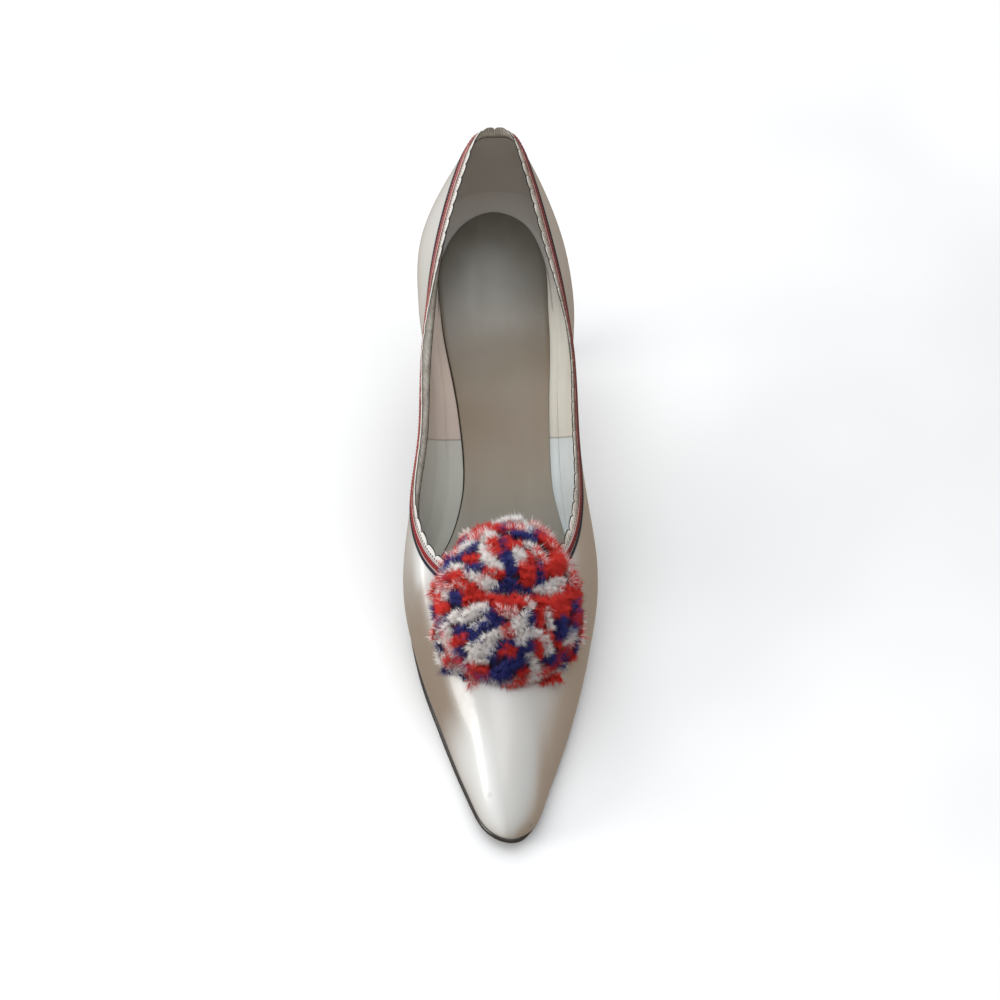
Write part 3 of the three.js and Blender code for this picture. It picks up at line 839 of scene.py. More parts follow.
def sockLeather():
    made, shader = newMaterial("sockLeather", sock["base"], 0.36, {
        "Specular IOR Level": 0.55,
        "Coat Weight": 0.25,
        "Coat Roughness": 0.3,
    })
    place, onward = objectPlace(made), uvParts(made)["Y"]
    streak = noiseOf(made, stretched(made, place, (1.0, 0.16, 0.2)), 60, 4, 0.6)
    cloud = noiseOf(made, place, 22, 3, 0.5)
    waist = mixOf(made, rangeOf(made, onward, *sock["seatEnd"]), sock["seat"], sock["waist"])
    tone = mixOf(made, rangeOf(made, onward, *sock["waistEnd"]), waist, sock["ball"])
    color = mixOf(made, rangeOf(made, cloud, 0.3, 0.7, 0, 0.25), tone, sock["cloud"])
    color = mixOf(made, rangeOf(made, streak, 0.5, 0.75, 0, 0.25), color, sock["streak"])
    plug(made, color, shader, "Base Color")
    grain = bumpOf(made, noiseOf(made, place, 1500, 3, 0.6), 0.00003, 0.4)
    plug(made, grain, shader, "Normal")
    plug(made, rangeOf(made, streak, 0.3, 0.7, 0.3, 0.46), shader, "Roughness")
    return made


def makeInsole():
    place, across = boardRows(lambda c: -insole["inset"], insole["lower"], insole["thickness"],
                              insole["roundness"])

    def uvOf(s, t):
        # The lining's colors go by the station along the edge, outer side first
        c = t * toeStation
        isOuter = s < 0.5 * board["topColumns"] / across
        return (c if isOuter else ringStations - c), t

    bm = carriedGrid(across, board["stations"], place, uvOf)
    return settle(finishMesh(bm, "insole_lining", [liningSkin]), "lining_leather", "insole")


def makeSock():
    place, across = boardRows(lambda c: -sockInset(c), sock["lower"], sock["thickness"],
                              sock["roundness"])
    bm = carriedGrid(across, board["stations"], place)
    return settle(finishMesh(bm, "sock_lining", [sockLeather()]), "sock_leather", "sock")


sockGap = {
    "bold": (0.030, 0.024, 0.018),
    "faint": (0.17, 0.155, 0.135),
    "boldFrom": 13.0,
    "boldTo": 19.2,
    "widen": 1.5,
    "narrow": 0.8,
    "under": 0.35,
    "thin": 0.16,
    "extra": 0.36,
    "rise": 0.02,
    "thickness": 0.06,
}


def makeSockGap():
    # Painted shadow in the gap along the sock's edge, a dark line: crisp on the inner side, faint on the
    # outer side and the back
    bold, faint = (newMaterial(name, sockGap[key], 0.9)[0]
                   for name, key in (("gapShadowBold", "bold"), ("gapShadowFaint", "faint")))
    start, end, under = sockGap["boldFrom"], sockGap["boldTo"], sockGap["under"]

    def place(s, t):
        c = s * ringStations
        rise = min(1, max(0, (c - start) / sockGap["widen"])) * min(1, max(0, (end - c) / sockGap["narrow"]))
        wide = sockGap["thin"] + sockGap["extra"] * rise
        plan = footPlan(c, -sockInset(c) - under + (wide + under) * t)
        return Vector((plan.x, -plan.y, overFootbed(plan.y, sock["lower"] + sockGap["rise"])))

    bm = carriedGrid(leather["columns"], 2, place,
                     materialOf=lambda s, t: 0 if start < s * ringStations < end else 1)
    bmesh.ops.solidify(bm, geom=bm.faces[:], thickness=sockGap["thickness"] * mm)
    return settle(finishMesh(bm, "sock_gap_shadow", [bold, faint]), "sock_leather")


makeInsole()
makeSock()
makeSockGap()
print("insole and sock ready")

# Outsole
outsole = {
    "color": (0.012, 0.011, 0.010),
    "worn": (0.05, 0.045, 0.04),
    "medial": 0.9,
    "ball": 0.45,
    "ballStation": 15.3,
    "ballSpread": 1.6,
    "lateral": -0.3,
    "toe": 0.9,
    "toeStations": (10.0, 10.8),
    "lower": -3.0,
    "thickness": 3.0,
    "roundness": 1.0,
}


def soleMargin(c):
    # Wider on the inner side and round the toe, where its edge shows from above
    if c > toeStation:
        spread = (c - outsole["ballStation"]) / outsole["ballSpread"]
        return outsole["medial"] + outsole["ball"] * math.exp(-(spread**2))
    side = outsole["lateral"]
    return side + (outsole["toe"] - side) * eased(c, *outsole["toeStations"])


def stationBehind(u, margin):
    # Outer station at which the foot line, moved out by the margin, comes forward to u
    low, high = 0.0, 6.0
    for _ in range(40):
        middle = (low + high) / 2
        if footPlan(middle, margin).y < u:
            low = middle
        else:
            high = middle
    return low


def soleLeather():
    made, shader = newMaterial("soleLeather", outsole["color"], 0.28, {
        "Coat Weight": 0.4,
        "Coat Roughness": 0.15,
    })
    place = objectPlace(made)
    cloud = noiseOf(made, place, 70, 4, 0.6)
    color = mixOf(made, rangeOf(made, cloud, 0.45, 0.8, 0, 0.5), outsole["color"], outsole["worn"])
    plug(made, color, shader, "Base Color")
    plug(made, rangeOf(made, cloud, 0.3, 0.7, 0.22, 0.4), shader, "Roughness")
    plug(made, bumpOf(made, noiseOf(made, place, 700, 3), 0.00004, 0.4), shader, "Normal")
    return made


def makeOutsole():
    breast = stationBehind(last["heelBreast"] + last["clearance"], outsole["medial"])
    place, across = boardRows(soleMargin, outsole["lower"], outsole["thickness"],
                              outsole["roundness"], breast)
    bm = carriedGrid(across, board["stations"], place, fill=True)
    return settle(finishMesh(bm, "outsole_edge", [soleLeather()]), "sole_leather", "outsole")


makeOutsole()
print("outsole ready")

# Heel
heel = {
    "tipWidth": 12.5,
    "tipDepth": 12.5,
    "undercut": 11.5,
    "topPiece": 6,
    "hollow": 0.12,
    "tipGrow": 0.3,
    "rubber": (0.015, 0.014, 0.013),
    "backColumns": 64,
    "breastColumns": 24,
    "rows": 48,
}
heelProfile = tableOf("down slimness undercut", [
    (0.00, 0.000, 0.00), (0.06, 0.045, 0.03), (0.15, 0.260, 0.14), (0.27, 0.540, 0.32),
    (0.41, 0.760, 0.53), (0.57, 0.890, 0.72), (0.77, 0.965, 0.88), (1.00, 1.000, 1.00),
])


heelCorner = stationBehind(last["heelBreast"], 0)
heelColumns = heel["backColumns"] + heel["breastColumns"]


def heelPlan(s):
    # Outline of the heel's seat: round the back, then across the front
    column = s * heelColumns
    if column <= heel["backColumns"]:
        c = heelCorner * (1 - 2 * column / heel["backColumns"])
        return footPlan(c, 0), 0.0
    share = (column - heel["backColumns"]) / heel["breastColumns"]
    first, second = footPlan(-heelCorner, 0), footPlan(heelCorner, 0)
    return first.lerp(second, share), 4 * share * (1 - share)


seat = [plan for plan in (footPlan(k / 10, 0) for k in range(60)) if plan.y < last["heelBreast"]]
seatHalf, backU = max(abs(plan.x) for plan in seat), min(plan.y for plan in seat)
seatLength = last["heelBreast"] - backU


def heelPoint(s, down):
    plan, hollowness = heelPlan(s)
    slim = fromTable(heelProfile, "slimness", down)
    across = 1 + slim * (heel["tipWidth"] / 2 / seatHalf - 1)
    deep = 1 + slim * (heel["tipDepth"] / seatLength - 1)
    hollow = heel["hollow"] * seatLength * min(1, down * 8)
    u = plan.y - hollow * hollowness
    foot = heel["topPiece"] + last["clearance"]
    top = footbed(u)
    shift = heel["undercut"] * fromTable(heelProfile, "undercut", down)
    return Vector((plan.x * across, -(backU + shift + (u - backU) * deep), top + (foot - top) * down))


def makeHeel():
    bm = carriedGrid(heelColumns, heel["rows"], heelPoint, lambda s, t: (s, 2 - t), fill=True)
    return settle(finishMesh(bm, "heel_cover", [pearl]), "pearl_leather", "heel")


def rubber():
    made, shader = newMaterial("tipRubber", heel["rubber"], 0.6)
    place = objectPlace(made)
    plug(made, bumpOf(made, noiseOf(made, place, 900, 3), 0.00005, 0.5), shader, "Normal")
    return made


def makeTopPiece():
    # Levels as (height, share of the tip's outline), from the middle of the floor side to the top
    tall = heel["topPiece"]
    tip = [heelPoint(k / heelColumns, 1) for k in range(heelColumns)]
    centre = Vector((0, (min(p.y for p in tip) + max(p.y for p in tip)) / 2, 0))
    levels = [(0, 0.0), (0, 0.85), (0.15, 0.97), (0.4, 1.0), (tall - 0.4, 1.0), (tall - 0.1, 0.97),
              (tall, 0.9), (tall, 0.0)]

    def place(s, t):
        z, grow = levels[round(t * (len(levels) - 1))]
        p = tip[round(s * heelColumns) % heelColumns]
        out = Vector((p.x, p.y - centre.y, 0))
        return Vector((0, centre.y, z)) + out * (1 + heel["tipGrow"] / max(out.length, 1)) * grow

    bm = carriedGrid(heelColumns, len(levels) - 1, place)
    return settle(finishMesh(bm, "heel_tip", [rubber()]), "tip_rubber", "top_piece")


makeHeel()
makeTopPiece()
print("heel ready")

# Ribbons and the scalloped strip
trim = {
    "columns": 900,
    "redStart": 0.3,
    "redWidth": 2.2,
    "navyStart": 2.85,
    "navyWidth": 1.4,
    "low": 0.03,
    "crown": 0.45,
    "rounds": 8,
    "weavePitch": 0.42,
    "shadeStations": (9.5, 6.5),
    "shadeShare": 0.65,
    "shadeTone": 0.3,
    "sheenStations": (17.5, 19.0),
    "sheenShare": 0.3,
    "white": (0.80, 0.79, 0.75),
    "soiled": (0.62, 0.57, 0.49),
    "pinhole": (0.02, 0.018, 0.015),
    "black": (0.012, 0.010, 0.010),
    "tileDark": (0.44, 0.41, 0.35),
    "tilePale": (0.74, 0.71, 0.64),
    "tileEdge": (0.26, 0.225, 0.185),
    "tileTickHighlight": (0.92, 0.90, 0.84),
    "tileStations": ((0.2, 0.6), (9.0, 7.0)),
}
# Each weave as its color, the dark between its ribs, a painted sheen on it towards the back of the inner side
# and a paler stripe along one edge
weaves = {
    "red": ((0.42, 0.030, 0.026), (0.26, 0.016, 0.015), (0.45, 0.25, 0.24), (-0.2, 0.17, (0.62, 0.30, 0.28))),
    "navy": ((0.016, 0.020, 0.045), (0.006, 0.008, 0.02), (0.05, 0.03, 0.03), None),
}


def wovenRibbon(key):
    color, dark, paintedSheen, stripe = weaves[key]
    made, shader = newMaterial(key + "Weave", color, 0.7, {"Sheen Weight": 0.2, "Sheen Roughness": 0.4})
    parts = uvParts(made)
    along, across = parts["X"], parts["Y"]
    ribs = mathOf(made, "SINE", mathOf(made, "MULTIPLY", along, 2 * math.pi / trim["weavePitch"]))
    shade = mixOf(made, rangeOf(made, ribs, -1, 1), dark, color)
    if stripe:
        start, end, paler = stripe
        shade = mixOf(made, bandOf(made, across, start, end, 0.03), shade, paler)
    outer = rangeOf(made, along, *map(lengthAt, trim["shadeStations"]), 0, trim["shadeShare"])
    shade = mixOf(made, outer, shade, tuple(trim["shadeTone"] * part for part in dark))
    # Painted sheen, paler towards the back of the inner side
    counter = rangeOf(made, along, *map(lengthAt, trim["sheenStations"]), 0, trim["sheenShare"])
    plug(made, mixOf(made, counter, shade, paintedSheen), shader, "Base Color")
    plug(made, bumpOf(made, ribs, 0.00008, 0.6), shader, "Normal")
    return made


def ribbonPiece(key):
    # A soft crowned band that lies on the leather
    start, width, rounds = trim[key + "Start"], trim[key + "Width"], trim["rounds"]
    section = []
    for k in range(rounds + 1):
        angle = math.pi * k / rounds
        section.append((start + width * (0.5 + 0.5 * math.cos(angle)),
                        trim["low"] + trim["crown"] * math.sin(angle) ** 0.6))
    section += [(start + width * 0.5, trim["low"] - 0.02), section[0]]
    faces = len(section) - 1

    def place(s, t):
        below, lift = section[round(t * faces)]
        c = stationAt(s)
        return skinOffset(c, belowEdge(c, round(below, 4)), lift)

    def uvOf(s, t):
        return s * edgeLength, 0.5 - 0.5 * math.cos(math.pi * min(round(t * faces), rounds) / rounds)

    bm = carriedGrid(trim["columns"], faces, place, uvOf)
    piece = finishMesh(bm, "ribbon_" + key + "_woven", [wovenRibbon(key)])
    return settle(piece, key + "_ribbon", "ribbon_" + key)


redRibbon = ribbonPiece("red")
navyRibbon = ribbonPiece("navy")


def wearAndShadeTiles(made, along):
    # Mottled tiles of wear and painted shade, with a painted highlight tick at each joint
    part = mathOf(made, "FRACT", mathOf(made, "MULTIPLY", along, 2 * scallops / edgeLength))
    apart = mathOf(made, "ABSOLUTE", mathOf(made, "SUBTRACT", part, 0.5))
    cloud = noiseOf(made, objectPlace(made), 210, 3, 0.6)
    color = mixOf(made, rangeOf(made, cloud, 0.35, 0.65), trim["tileDark"], trim["tilePale"])
    color = mixOf(made, rangeOf(made, apart, 0.34, 0.40), color, trim["tileEdge"])
    return mixOf(made, rangeOf(made, apart, 0.42, 0.46), color, trim["tileTickHighlight"])


def trimLeather():
    made, shader = newMaterial("trimLeather", trim["white"], 0.5, {"Coat Weight": 0.2})
    parts = uvParts(made)
    along, height = parts["X"], parts["Y"]
    fraction = mathOf(made, "FRACT", mathOf(made, "DIVIDE", along, edging["pinPitch"]))
    sideways = mathOf(made, "MULTIPLY", mathOf(made, "SUBTRACT", fraction, 0.5), edging["pinPitch"])
    upward = mathOf(made, "SUBTRACT", height, edging["pinRise"])
    squares = [mathOf(made, "MULTIPLY", part, part) for part in (sideways, upward)]
    reach = mathOf(made, "SQRT", mathOf(made, "ADD", *squares))
    hole = rangeOf(made, reach, edging["pinRadius"], edging["pinRadius"] - 0.08)
    cloud = rangeOf(made, noiseOf(made, objectPlace(made), 300, 3), 0.35, 0.7, 0, 0.25)
    color = mixOf(made, cloud, trim["white"], trim["soiled"])
    # Tiles of wear and painted shade on the outer side from the back to the waist
    worn = mathOf(made, "MULTIPLY", *(rangeOf(made, along, *map(lengthAt, ends))
                                      for ends in trim["tileStations"]))
    color = mixOf(made, worn, color, wearAndShadeTiles(made, along))
    plug(made, mixOf(made, hole, color, trim["pinhole"]), shader, "Base Color")
    plug(made, bumpOf(made, hole, 0.0003, -1.0), shader, "Normal")
    return made


def scallopStrip(name, outer, inner, extra, materials):
    # Closed section as (share of the scallop's rise, distance from the skin), outer face first
    half, middle, lap = (outer - inner) / 2, (outer + inner) / 2, edging["lap"]
    section = [(-1.0, outer), (-0.5, outer), (0.0, outer), (0.35, outer), (0.7, outer)]
    for k in range(5):
        angle = math.pi * k / 4
        section.append((1 - 0.12 * (1 - math.sin(angle)), middle + half * math.cos(angle)))
    section += [(0.6, inner), (0.2, inner), (-0.3, inner), (-1.0, inner)]
    section.append(section[0])
    faces = len(section) - 1

    def place(s, t):
        share, distance = section[round(t * faces)]
        c = stationAt(s)
        if share < 0:
            away = innerRoll(c) * -share if distance == edging["backingInner"] else 0
            return skinOffset(c, belowEdge(c, round(-share * lap, 4)), distance - away)
        return overEdge(c, share * (scallopRise(s) + extra), distance)

    def uvOf(s, t):
        share = section[round(t * faces)][0]
        return s * edgeLength, share * (scallopRise(s) if share > 0 else lap)

    bm = carriedGrid(scallops * edging["columnsPerScallop"], faces, place, uvOf,
                     materialOf=lambda s, t: 1 if t * faces > edging["innerStart"] else 0)
    return finishMesh(bm, name, materials)


def wearAndShadeBacking():
    # The backing's inner face all round shows the tiles of wear and painted shade
    made, shader = newMaterial("backingWearAndShade", (0.45, 0.42, 0.37), 0.7)
    plug(made, wearAndShadeTiles(made, uvParts(made)["X"]), shader, "Base Color")
    return made


def makeEdging():
    white, black = trimLeather(), newMaterial("backingBlack", trim["black"], 0.7)[0]
    strip = scallopStrip("scalloped_edging", edging["outerFace"], edging["innerFace"], 0.0,
                         [white, white])
    backing = scallopStrip("edging_backing", edging["backingOuter"], edging["backingInner"],
                           edging["backingRise"], [black, wearAndShadeBacking()])
    settle(backing, "trim_leather")
    return settle(strip, "trim_leather", "edging")


edgingPiece = makeEdging()
stitches = {
    "color": (0.07, 0.005, 0.006),
    "pitch": 1.3,
    "length": 0.8,
    "width": 0.55,
    "depth": 0.2,
    "below": 1.3,
}


def makeStitches():
    # One row of stitches along the middle of the red ribbon, dark red: the thread's red darkened by painted
    # shade of the pits between them
    count = round(edgeLength / stitches["pitch"])
    lift = trim["low"] + trim["crown"] + 0.02
    corners = [(-1, -1, 0), (1, -1, 0), (1, 1, 0), (-1, 1, 0), (-0.7, -0.6, 1), (0.7, -0.6, 1),
               (0.7, 0.6, 1), (-0.7, 0.6, 1)]
    sides = [(0, 2, 1), (0, 3, 2), (4, 5, 6), (4, 6, 7)]
    for k in range(4):
        sides += [(k, (k + 1) % 4, k + 4), ((k + 1) % 4, (k + 1) % 4 + 4, k + 4)]
    points, triangles = [], []
    for n in range(count):
        c = stationAt(n / count)
        w = belowEdge(c, stitches["below"])
        middle, normal = skinOffset(c, w, lift), skinNormal(c, w)
        along = (skin(c + 0.01, 1) - skin(c - 0.01, 1)).normalized()
        across = normal.cross(along)
        for x, y, z in corners:
            spot = middle + along * (x * stitches["length"] / 2) + across * (y * stitches["width"] / 2)
            points.append(toFrame(spot + normal * (z - 0.6) * stitches["depth"]))
        triangles += [[i + 8 * n for i in side] for side in sides]
    made = newMaterial("stitchShadedRed", stitches["color"], 0.8)[0]
    piece = meshFromArrays("ribbon_stitches", np.array(points), np.array(triangles), [made])
    return settle(piece, "red_ribbon")


makeStitches()
print("trim ready")

# Pompom: short runs of eyelash yarn laid over a low dome in an upper and a lower lobe
pompom = {
    "width": 53,
    "length": 60,
    "height": 15,
    "forward": 4.2,
    "aside": 3.3,
    "rimDroop": 4.5,
    "rimThickness": 2.4,
    "axisDepth": 0.8,
    "valleyAt": -2.7,
    "valleyDepth": 4.0,
    "valleyWidth": 3.2,
    "hairRadius": 0.14,
    "hairsPerArea": 20,
    "rimRuns": 46,
    "rimShare": 0.94,
    "rimWidth": 4.4,
    "rimLower": 1.6,
    "strays": 16,
    "strayAcross": (-24, -20),
    "strayOnward": (-17, -4),
    "strayLength": (6, 9.5),
    "shadeBody": (0.10, 0.02, 0.03),
    "shadeBodyRed": (0.10, 0.010, 0.014),
    "shadeBodyNavy": (0.008, 0.008, 0.03),
    "seed": 7,
}
# Five hairs stand close together in a tuft, more or less away from the yarn
tuft = {
    "hairs": 5,
    "overhang": 0.4,
    "widthShare": 0.8,
    "turn": 1.55,
    "lean": 0.2,
    "endLean": 1.3,
    "reach": 1.7,
    "reachRange": (0.75, 1.15),
    "longShare": 0.2,
    "long": 1.35,
    "wild": 0.17,
    "spread": (0.28, 0.28, 0.2),
    "hairRange": (0.8, 1.12),
    "pinkTone": 0.45,
}
# Runs of yarn, charted on the photograph's pixels: color, start, end and width
# r red, w white, n navy, p pink of red and white hairs
chart = {"shift": 110, "pixelsPerMm": 2.54, "lift": 1.3, "steps": 40}
yarnChart = [
    ("r", 571, 542, 580, 537, 7), ("r", 583, 543, 590, 533, 9), ("r", 590, 533, 601, 528, 8),
    ("w", 574, 537, 581, 532, 5), ("w", 567, 556, 576, 550, 8), ("w", 576, 550, 585, 545, 8),
    ("p", 551, 565, 559, 557, 7), ("n", 583, 549, 590, 546, 6), ("n", 575, 555, 586, 551, 5),
    ("n", 567, 562, 577, 556, 5), ("r", 576, 561, 590, 560, 7), ("n", 577, 570, 595, 569, 7),
    ("w", 563, 569, 573, 569, 7), ("r", 552, 570, 559, 565, 7), ("w", 596, 534, 604, 539, 8),
    ("w", 594, 545, 598, 556, 8), ("w", 598, 558, 607, 569, 10), ("r", 603, 542, 606, 556, 10),
    ("w", 606, 529, 615, 523, 9), ("w", 615, 523, 630, 521, 9), ("w", 630, 525, 638, 528, 8),
    ("p", 616, 530, 628, 530, 7), ("n", 614, 540, 613, 548, 5), ("r", 617, 540, 620, 549, 7),
    ("r", 620, 547, 631, 547, 7), ("n", 624, 536, 636, 538, 7), ("n", 636, 538, 643, 542, 6),
    ("w", 633, 545, 642, 547, 4), ("n", 615, 553, 618, 562, 8), ("n", 618, 562, 622, 573, 8),
    ("n", 616, 581, 625, 584, 6), ("w", 625, 553, 632, 557, 8), ("w", 631, 557, 628, 566, 7),
    ("r", 637, 553, 640, 563, 6), ("r", 631, 569, 641, 572, 11), ("r", 633, 579, 641, 580, 9),
    ("p", 642, 527, 650, 532, 10), ("p", 650, 532, 657, 540, 10), ("p", 657, 540, 662, 548, 10),
    ("r", 650, 541, 659, 546, 7), ("p", 645, 551, 651, 561, 10), ("r", 656, 567, 672, 563, 13),
    ("r", 663, 558, 673, 558, 9), ("r", 652, 572, 668, 573, 8), ("p", 676, 568, 681, 578, 7),
    ("r", 546, 588, 556, 579, 10), ("r", 556, 578, 568, 576, 9), ("r", 568, 577, 577, 578, 8),
    ("r", 545, 591, 549, 597, 8), ("p", 555, 588, 575, 583, 6), ("w", 578, 574, 590, 578, 7),
    ("w", 590, 578, 601, 583, 7), ("r", 595, 573, 612, 575, 8), ("n", 604, 588, 628, 586, 7),
    ("n", 628, 587, 642, 594, 7), ("w", 592, 586, 607, 583, 5), ("r", 572, 588, 590, 587, 8),
    ("n", 566, 596, 572, 598, 10), ("w", 547, 599, 553, 592, 7), ("w", 553, 600, 559, 593, 7),
    ("w", 643, 588, 652, 587, 7), ("w", 652, 590, 667, 590, 9), ("r", 668, 589, 680, 591, 7),
    ("p", 680, 580, 687, 590, 7), ("r", 577, 602, 590, 598, 9), ("r", 592, 597, 605, 600, 9),
    ("w", 598, 592, 617, 591, 5), ("r", 610, 599, 617, 605, 8), ("r", 624, 599, 629, 605, 11),
    ("w", 621, 590, 635, 596, 5), ("r", 636, 600, 645, 601, 7), ("r", 650, 603, 661, 606, 9),
    ("r", 662, 602, 678, 597, 11), ("r", 662, 611, 674, 611, 11), ("n", 681, 604, 681, 609, 6),
    ("w", 637, 603, 641, 608, 6), ("r", 553, 612, 560, 607, 9), ("p", 550, 624, 555, 616, 7),
    ("n", 546, 607, 546, 617, 6), ("w", 564, 619, 570, 612, 8), ("n", 556, 620, 561, 617, 4),
    ("w", 574, 618, 585, 611, 9), ("w", 585, 611, 597, 607, 8), ("n", 596, 612, 604, 616, 7),
    ("n", 603, 615, 611, 623, 7), ("n", 583, 632, 597, 625, 7), ("n", 597, 625, 609, 623, 6),
    ("n", 582, 638, 591, 636, 8), ("w", 583, 627, 600, 619, 4), ("w", 592, 641, 605, 633, 9),
    ("w", 605, 633, 613, 631, 7), ("w", 600, 650, 604, 641, 7), ("w", 582, 645, 590, 649, 10),
    ("w", 590, 650, 599, 648, 8), ("w", 583, 657, 598, 657, 7), ("w", 551, 633, 560, 627, 10),
    ("w", 555, 640, 562, 634, 8), ("p", 546, 627, 544, 637, 6), ("n", 569, 631, 577, 627, 7),
    ("r", 567, 640, 578, 636, 7), ("r", 558, 648, 568, 641, 9), ("n", 568, 651, 575, 650, 8),
    ("n", 550, 646, 552, 650, 6), ("w", 549, 655, 552, 661, 7), ("r", 558, 663, 566, 657, 12),
    ("w", 560, 669, 572, 665, 8), ("w", 572, 665, 583, 660, 7), ("w", 570, 672, 585, 668, 6),
    ("n", 554, 669, 560, 673, 6), ("n", 573, 676, 577, 674, 6), ("r", 581, 663, 597, 667, 9),
    ("r", 581, 681, 598, 681, 10), ("r", 588, 674, 600, 674, 7), ("n", 601, 657, 606, 650, 7),
    ("n", 604, 673, 617, 670, 12), ("n", 618, 664, 632, 656, 12), ("n", 629, 648, 639, 644, 8),
    ("n", 637, 638, 640, 648, 7), ("r", 616, 648, 623, 650, 10), ("w", 603, 681, 611, 682, 9),
    ("r", 617, 681, 631, 678, 10), ("r", 631, 681, 641, 682, 8), ("r", 629, 671, 636, 668, 7),
    ("w", 637, 651, 643, 659, 6), ("w", 643, 659, 644, 670, 7), ("w", 645, 674, 659, 668, 7),
    ("w", 659, 668, 673, 665, 7), ("r", 649, 681, 668, 677, 8), ("r", 645, 641, 649, 654, 8),
    ("w", 654, 638, 658, 651, 8), ("r", 657, 629, 659, 640, 6), ("n", 669, 620, 669, 634, 12),
    ("w", 671, 641, 678, 637, 7), ("r", 666, 641, 668, 645, 6), ("r", 671, 649, 677, 655, 9),
    ("n", 666, 661, 674, 662, 9), ("n", 655, 656, 661, 659, 8), ("w", 656, 617, 660, 627, 6),
    ("w", 655, 613, 659, 609, 6), ("r", 649, 611, 648, 625, 7), ("n", 640, 612, 641, 626, 6),
    ("w", 628, 622, 636, 614, 8), ("w", 622, 630, 631, 625, 7), ("w", 629, 641, 634, 632, 8),
    ("w", 638, 631, 650, 634, 7), ("p", 611, 611, 627, 612, 8), ("r", 616, 625, 621, 635, 8),
    ("r", 685, 614, 685, 633, 8), ("p", 690, 613, 691, 623, 6), ("n", 682, 639, 684, 652, 7),
    ("p", 690, 629, 690, 640, 6), ("r", 684, 596, 686, 606, 7), ("r", 680, 660, 684, 654, 6),
    ("p", 548, 606, 552, 600, 5), ("n", 611, 640, 613, 650, 5), ("n", 617, 638, 626, 642, 5),
    ("r", 606, 606, 614, 611, 7), ("n", 645, 583, 652, 580, 5), ("w", 660, 580, 672, 582, 6),
    ("n", 647, 566, 650, 575, 6),
]
# Each fringe color as its name, root color and tip color; the darker roots are painted shade inside the
# fringe
fringeColors = {
    "r": ("pompom_red", (0.50, 0.014, 0.010), (0.82, 0.055, 0.04)),
    "w": ("pompom_white", (0.74, 0.66, 0.62), (0.98, 0.96, 0.94)),
    "n": ("pompom_navy", (0.010, 0.011, 0.075), (0.045, 0.05, 0.27)),
}


def pompomFrame():
    w = 1.0
    throat = last["footLength"] * around("topU", toeStation)
    while -skin(toeStation, w).y < throat + pompom["forward"]:
        w -= 0.002
    centre = skin(toeStation, w) + Vector((pompom["aside"], 0, 0))
    up = skinNormal(toeStation, w)
    forward = Vector((1, 0, 0)).cross(up).normalized()
    return centre, up, Vector((1, 0, 0)), -forward if forward.y > 0 else forward


pomCentre, pomUp, pomAcross, pomForward = pompomFrame()


def pomPlace(p, q, h):
    return pomCentre + pomAcross * p + pomForward * q + pomUp * h


def yarnHeight(p, q):
    # The yarn lies just under the dome's surface, lower in the valley between the lobes
    share = min(1.0, math.hypot(2 * p / pompom["width"], 2 * q / pompom["length"]))
    dome = pompom["height"] * math.sqrt(max(0.0, 1 - share**2.4))
    dome += pompom["rimThickness"] - pompom["rimDroop"] * share**2
    valley = math.exp(-(((q - pompom["valleyAt"]) / pompom["valleyWidth"]) ** 2))
    return dome - pompom["axisDepth"] - pompom["valleyDepth"] * valley * (1 - 0.6 * share)


def chartedPlace(x, y):
    # Walks over the pompom's plane until the yarn there shows at the charted pixel
    p = q = 0.0
    for _ in range(chart["steps"]):
        shown = onPicture(toFrame(pomPlace(p, q, yarnHeight(p, q) + chart["lift"])))
        p += 0.8 * (x - chart["shift"] - shown[0]) / chart["pixelsPerMm"]
        q += 0.8 * (y - shown[1]) / chart["pixelsPerMm"]
    return p, q


def chartedRun(letter, x0, y0, x1, y1, width):
    return letter, *chartedPlace(x0, y0), *chartedPlace(x1, y1), width / chart["pixelsPerMm"]


def yarnPoint(p, q):
    return pomPlace(p, q, yarnHeight(p, q))


def yarnNormal(p, q):
    step = 0.6
    across = yarnPoint(p + step, q) - yarnPoint(p - step, q)
    onward = yarnPoint(p, q + step) - yarnPoint(p, q - step)
    normal = across.cross(onward).normalized()
    return normal if normal.dot(pomUp) > 0 else -normal


def carrierHeights(pieces):
    # How far the shoe reaches over the pompom's seat plane, found by looking straight down on it
    trees = [BVHTree.FromObject(piece, bpy.context.evaluated_depsgraph_get()) for piece in pieces]

    def heightAt(p, q):
        start = toFrame(pomPlace(p, q, 40))
        hits = [tree.ray_cast(start, -pomUp)[3] for tree in trees]
        hits = [40 - hit / mm for hit in hits if hit is not None]
        return max(hits) if hits else -99.0

    return heightAt


def fringeMaterial(name, root, tip):
    made, shader = newMaterial(name, root, 0.6, {"Specular IOR Level": 0.25})
    tone = addNode(made, "Attribute", attribute_name="tone").outputs["Fac"]
    plug(made, mixOf(made, tone, root, tip), shader, "Base Color")
    return made


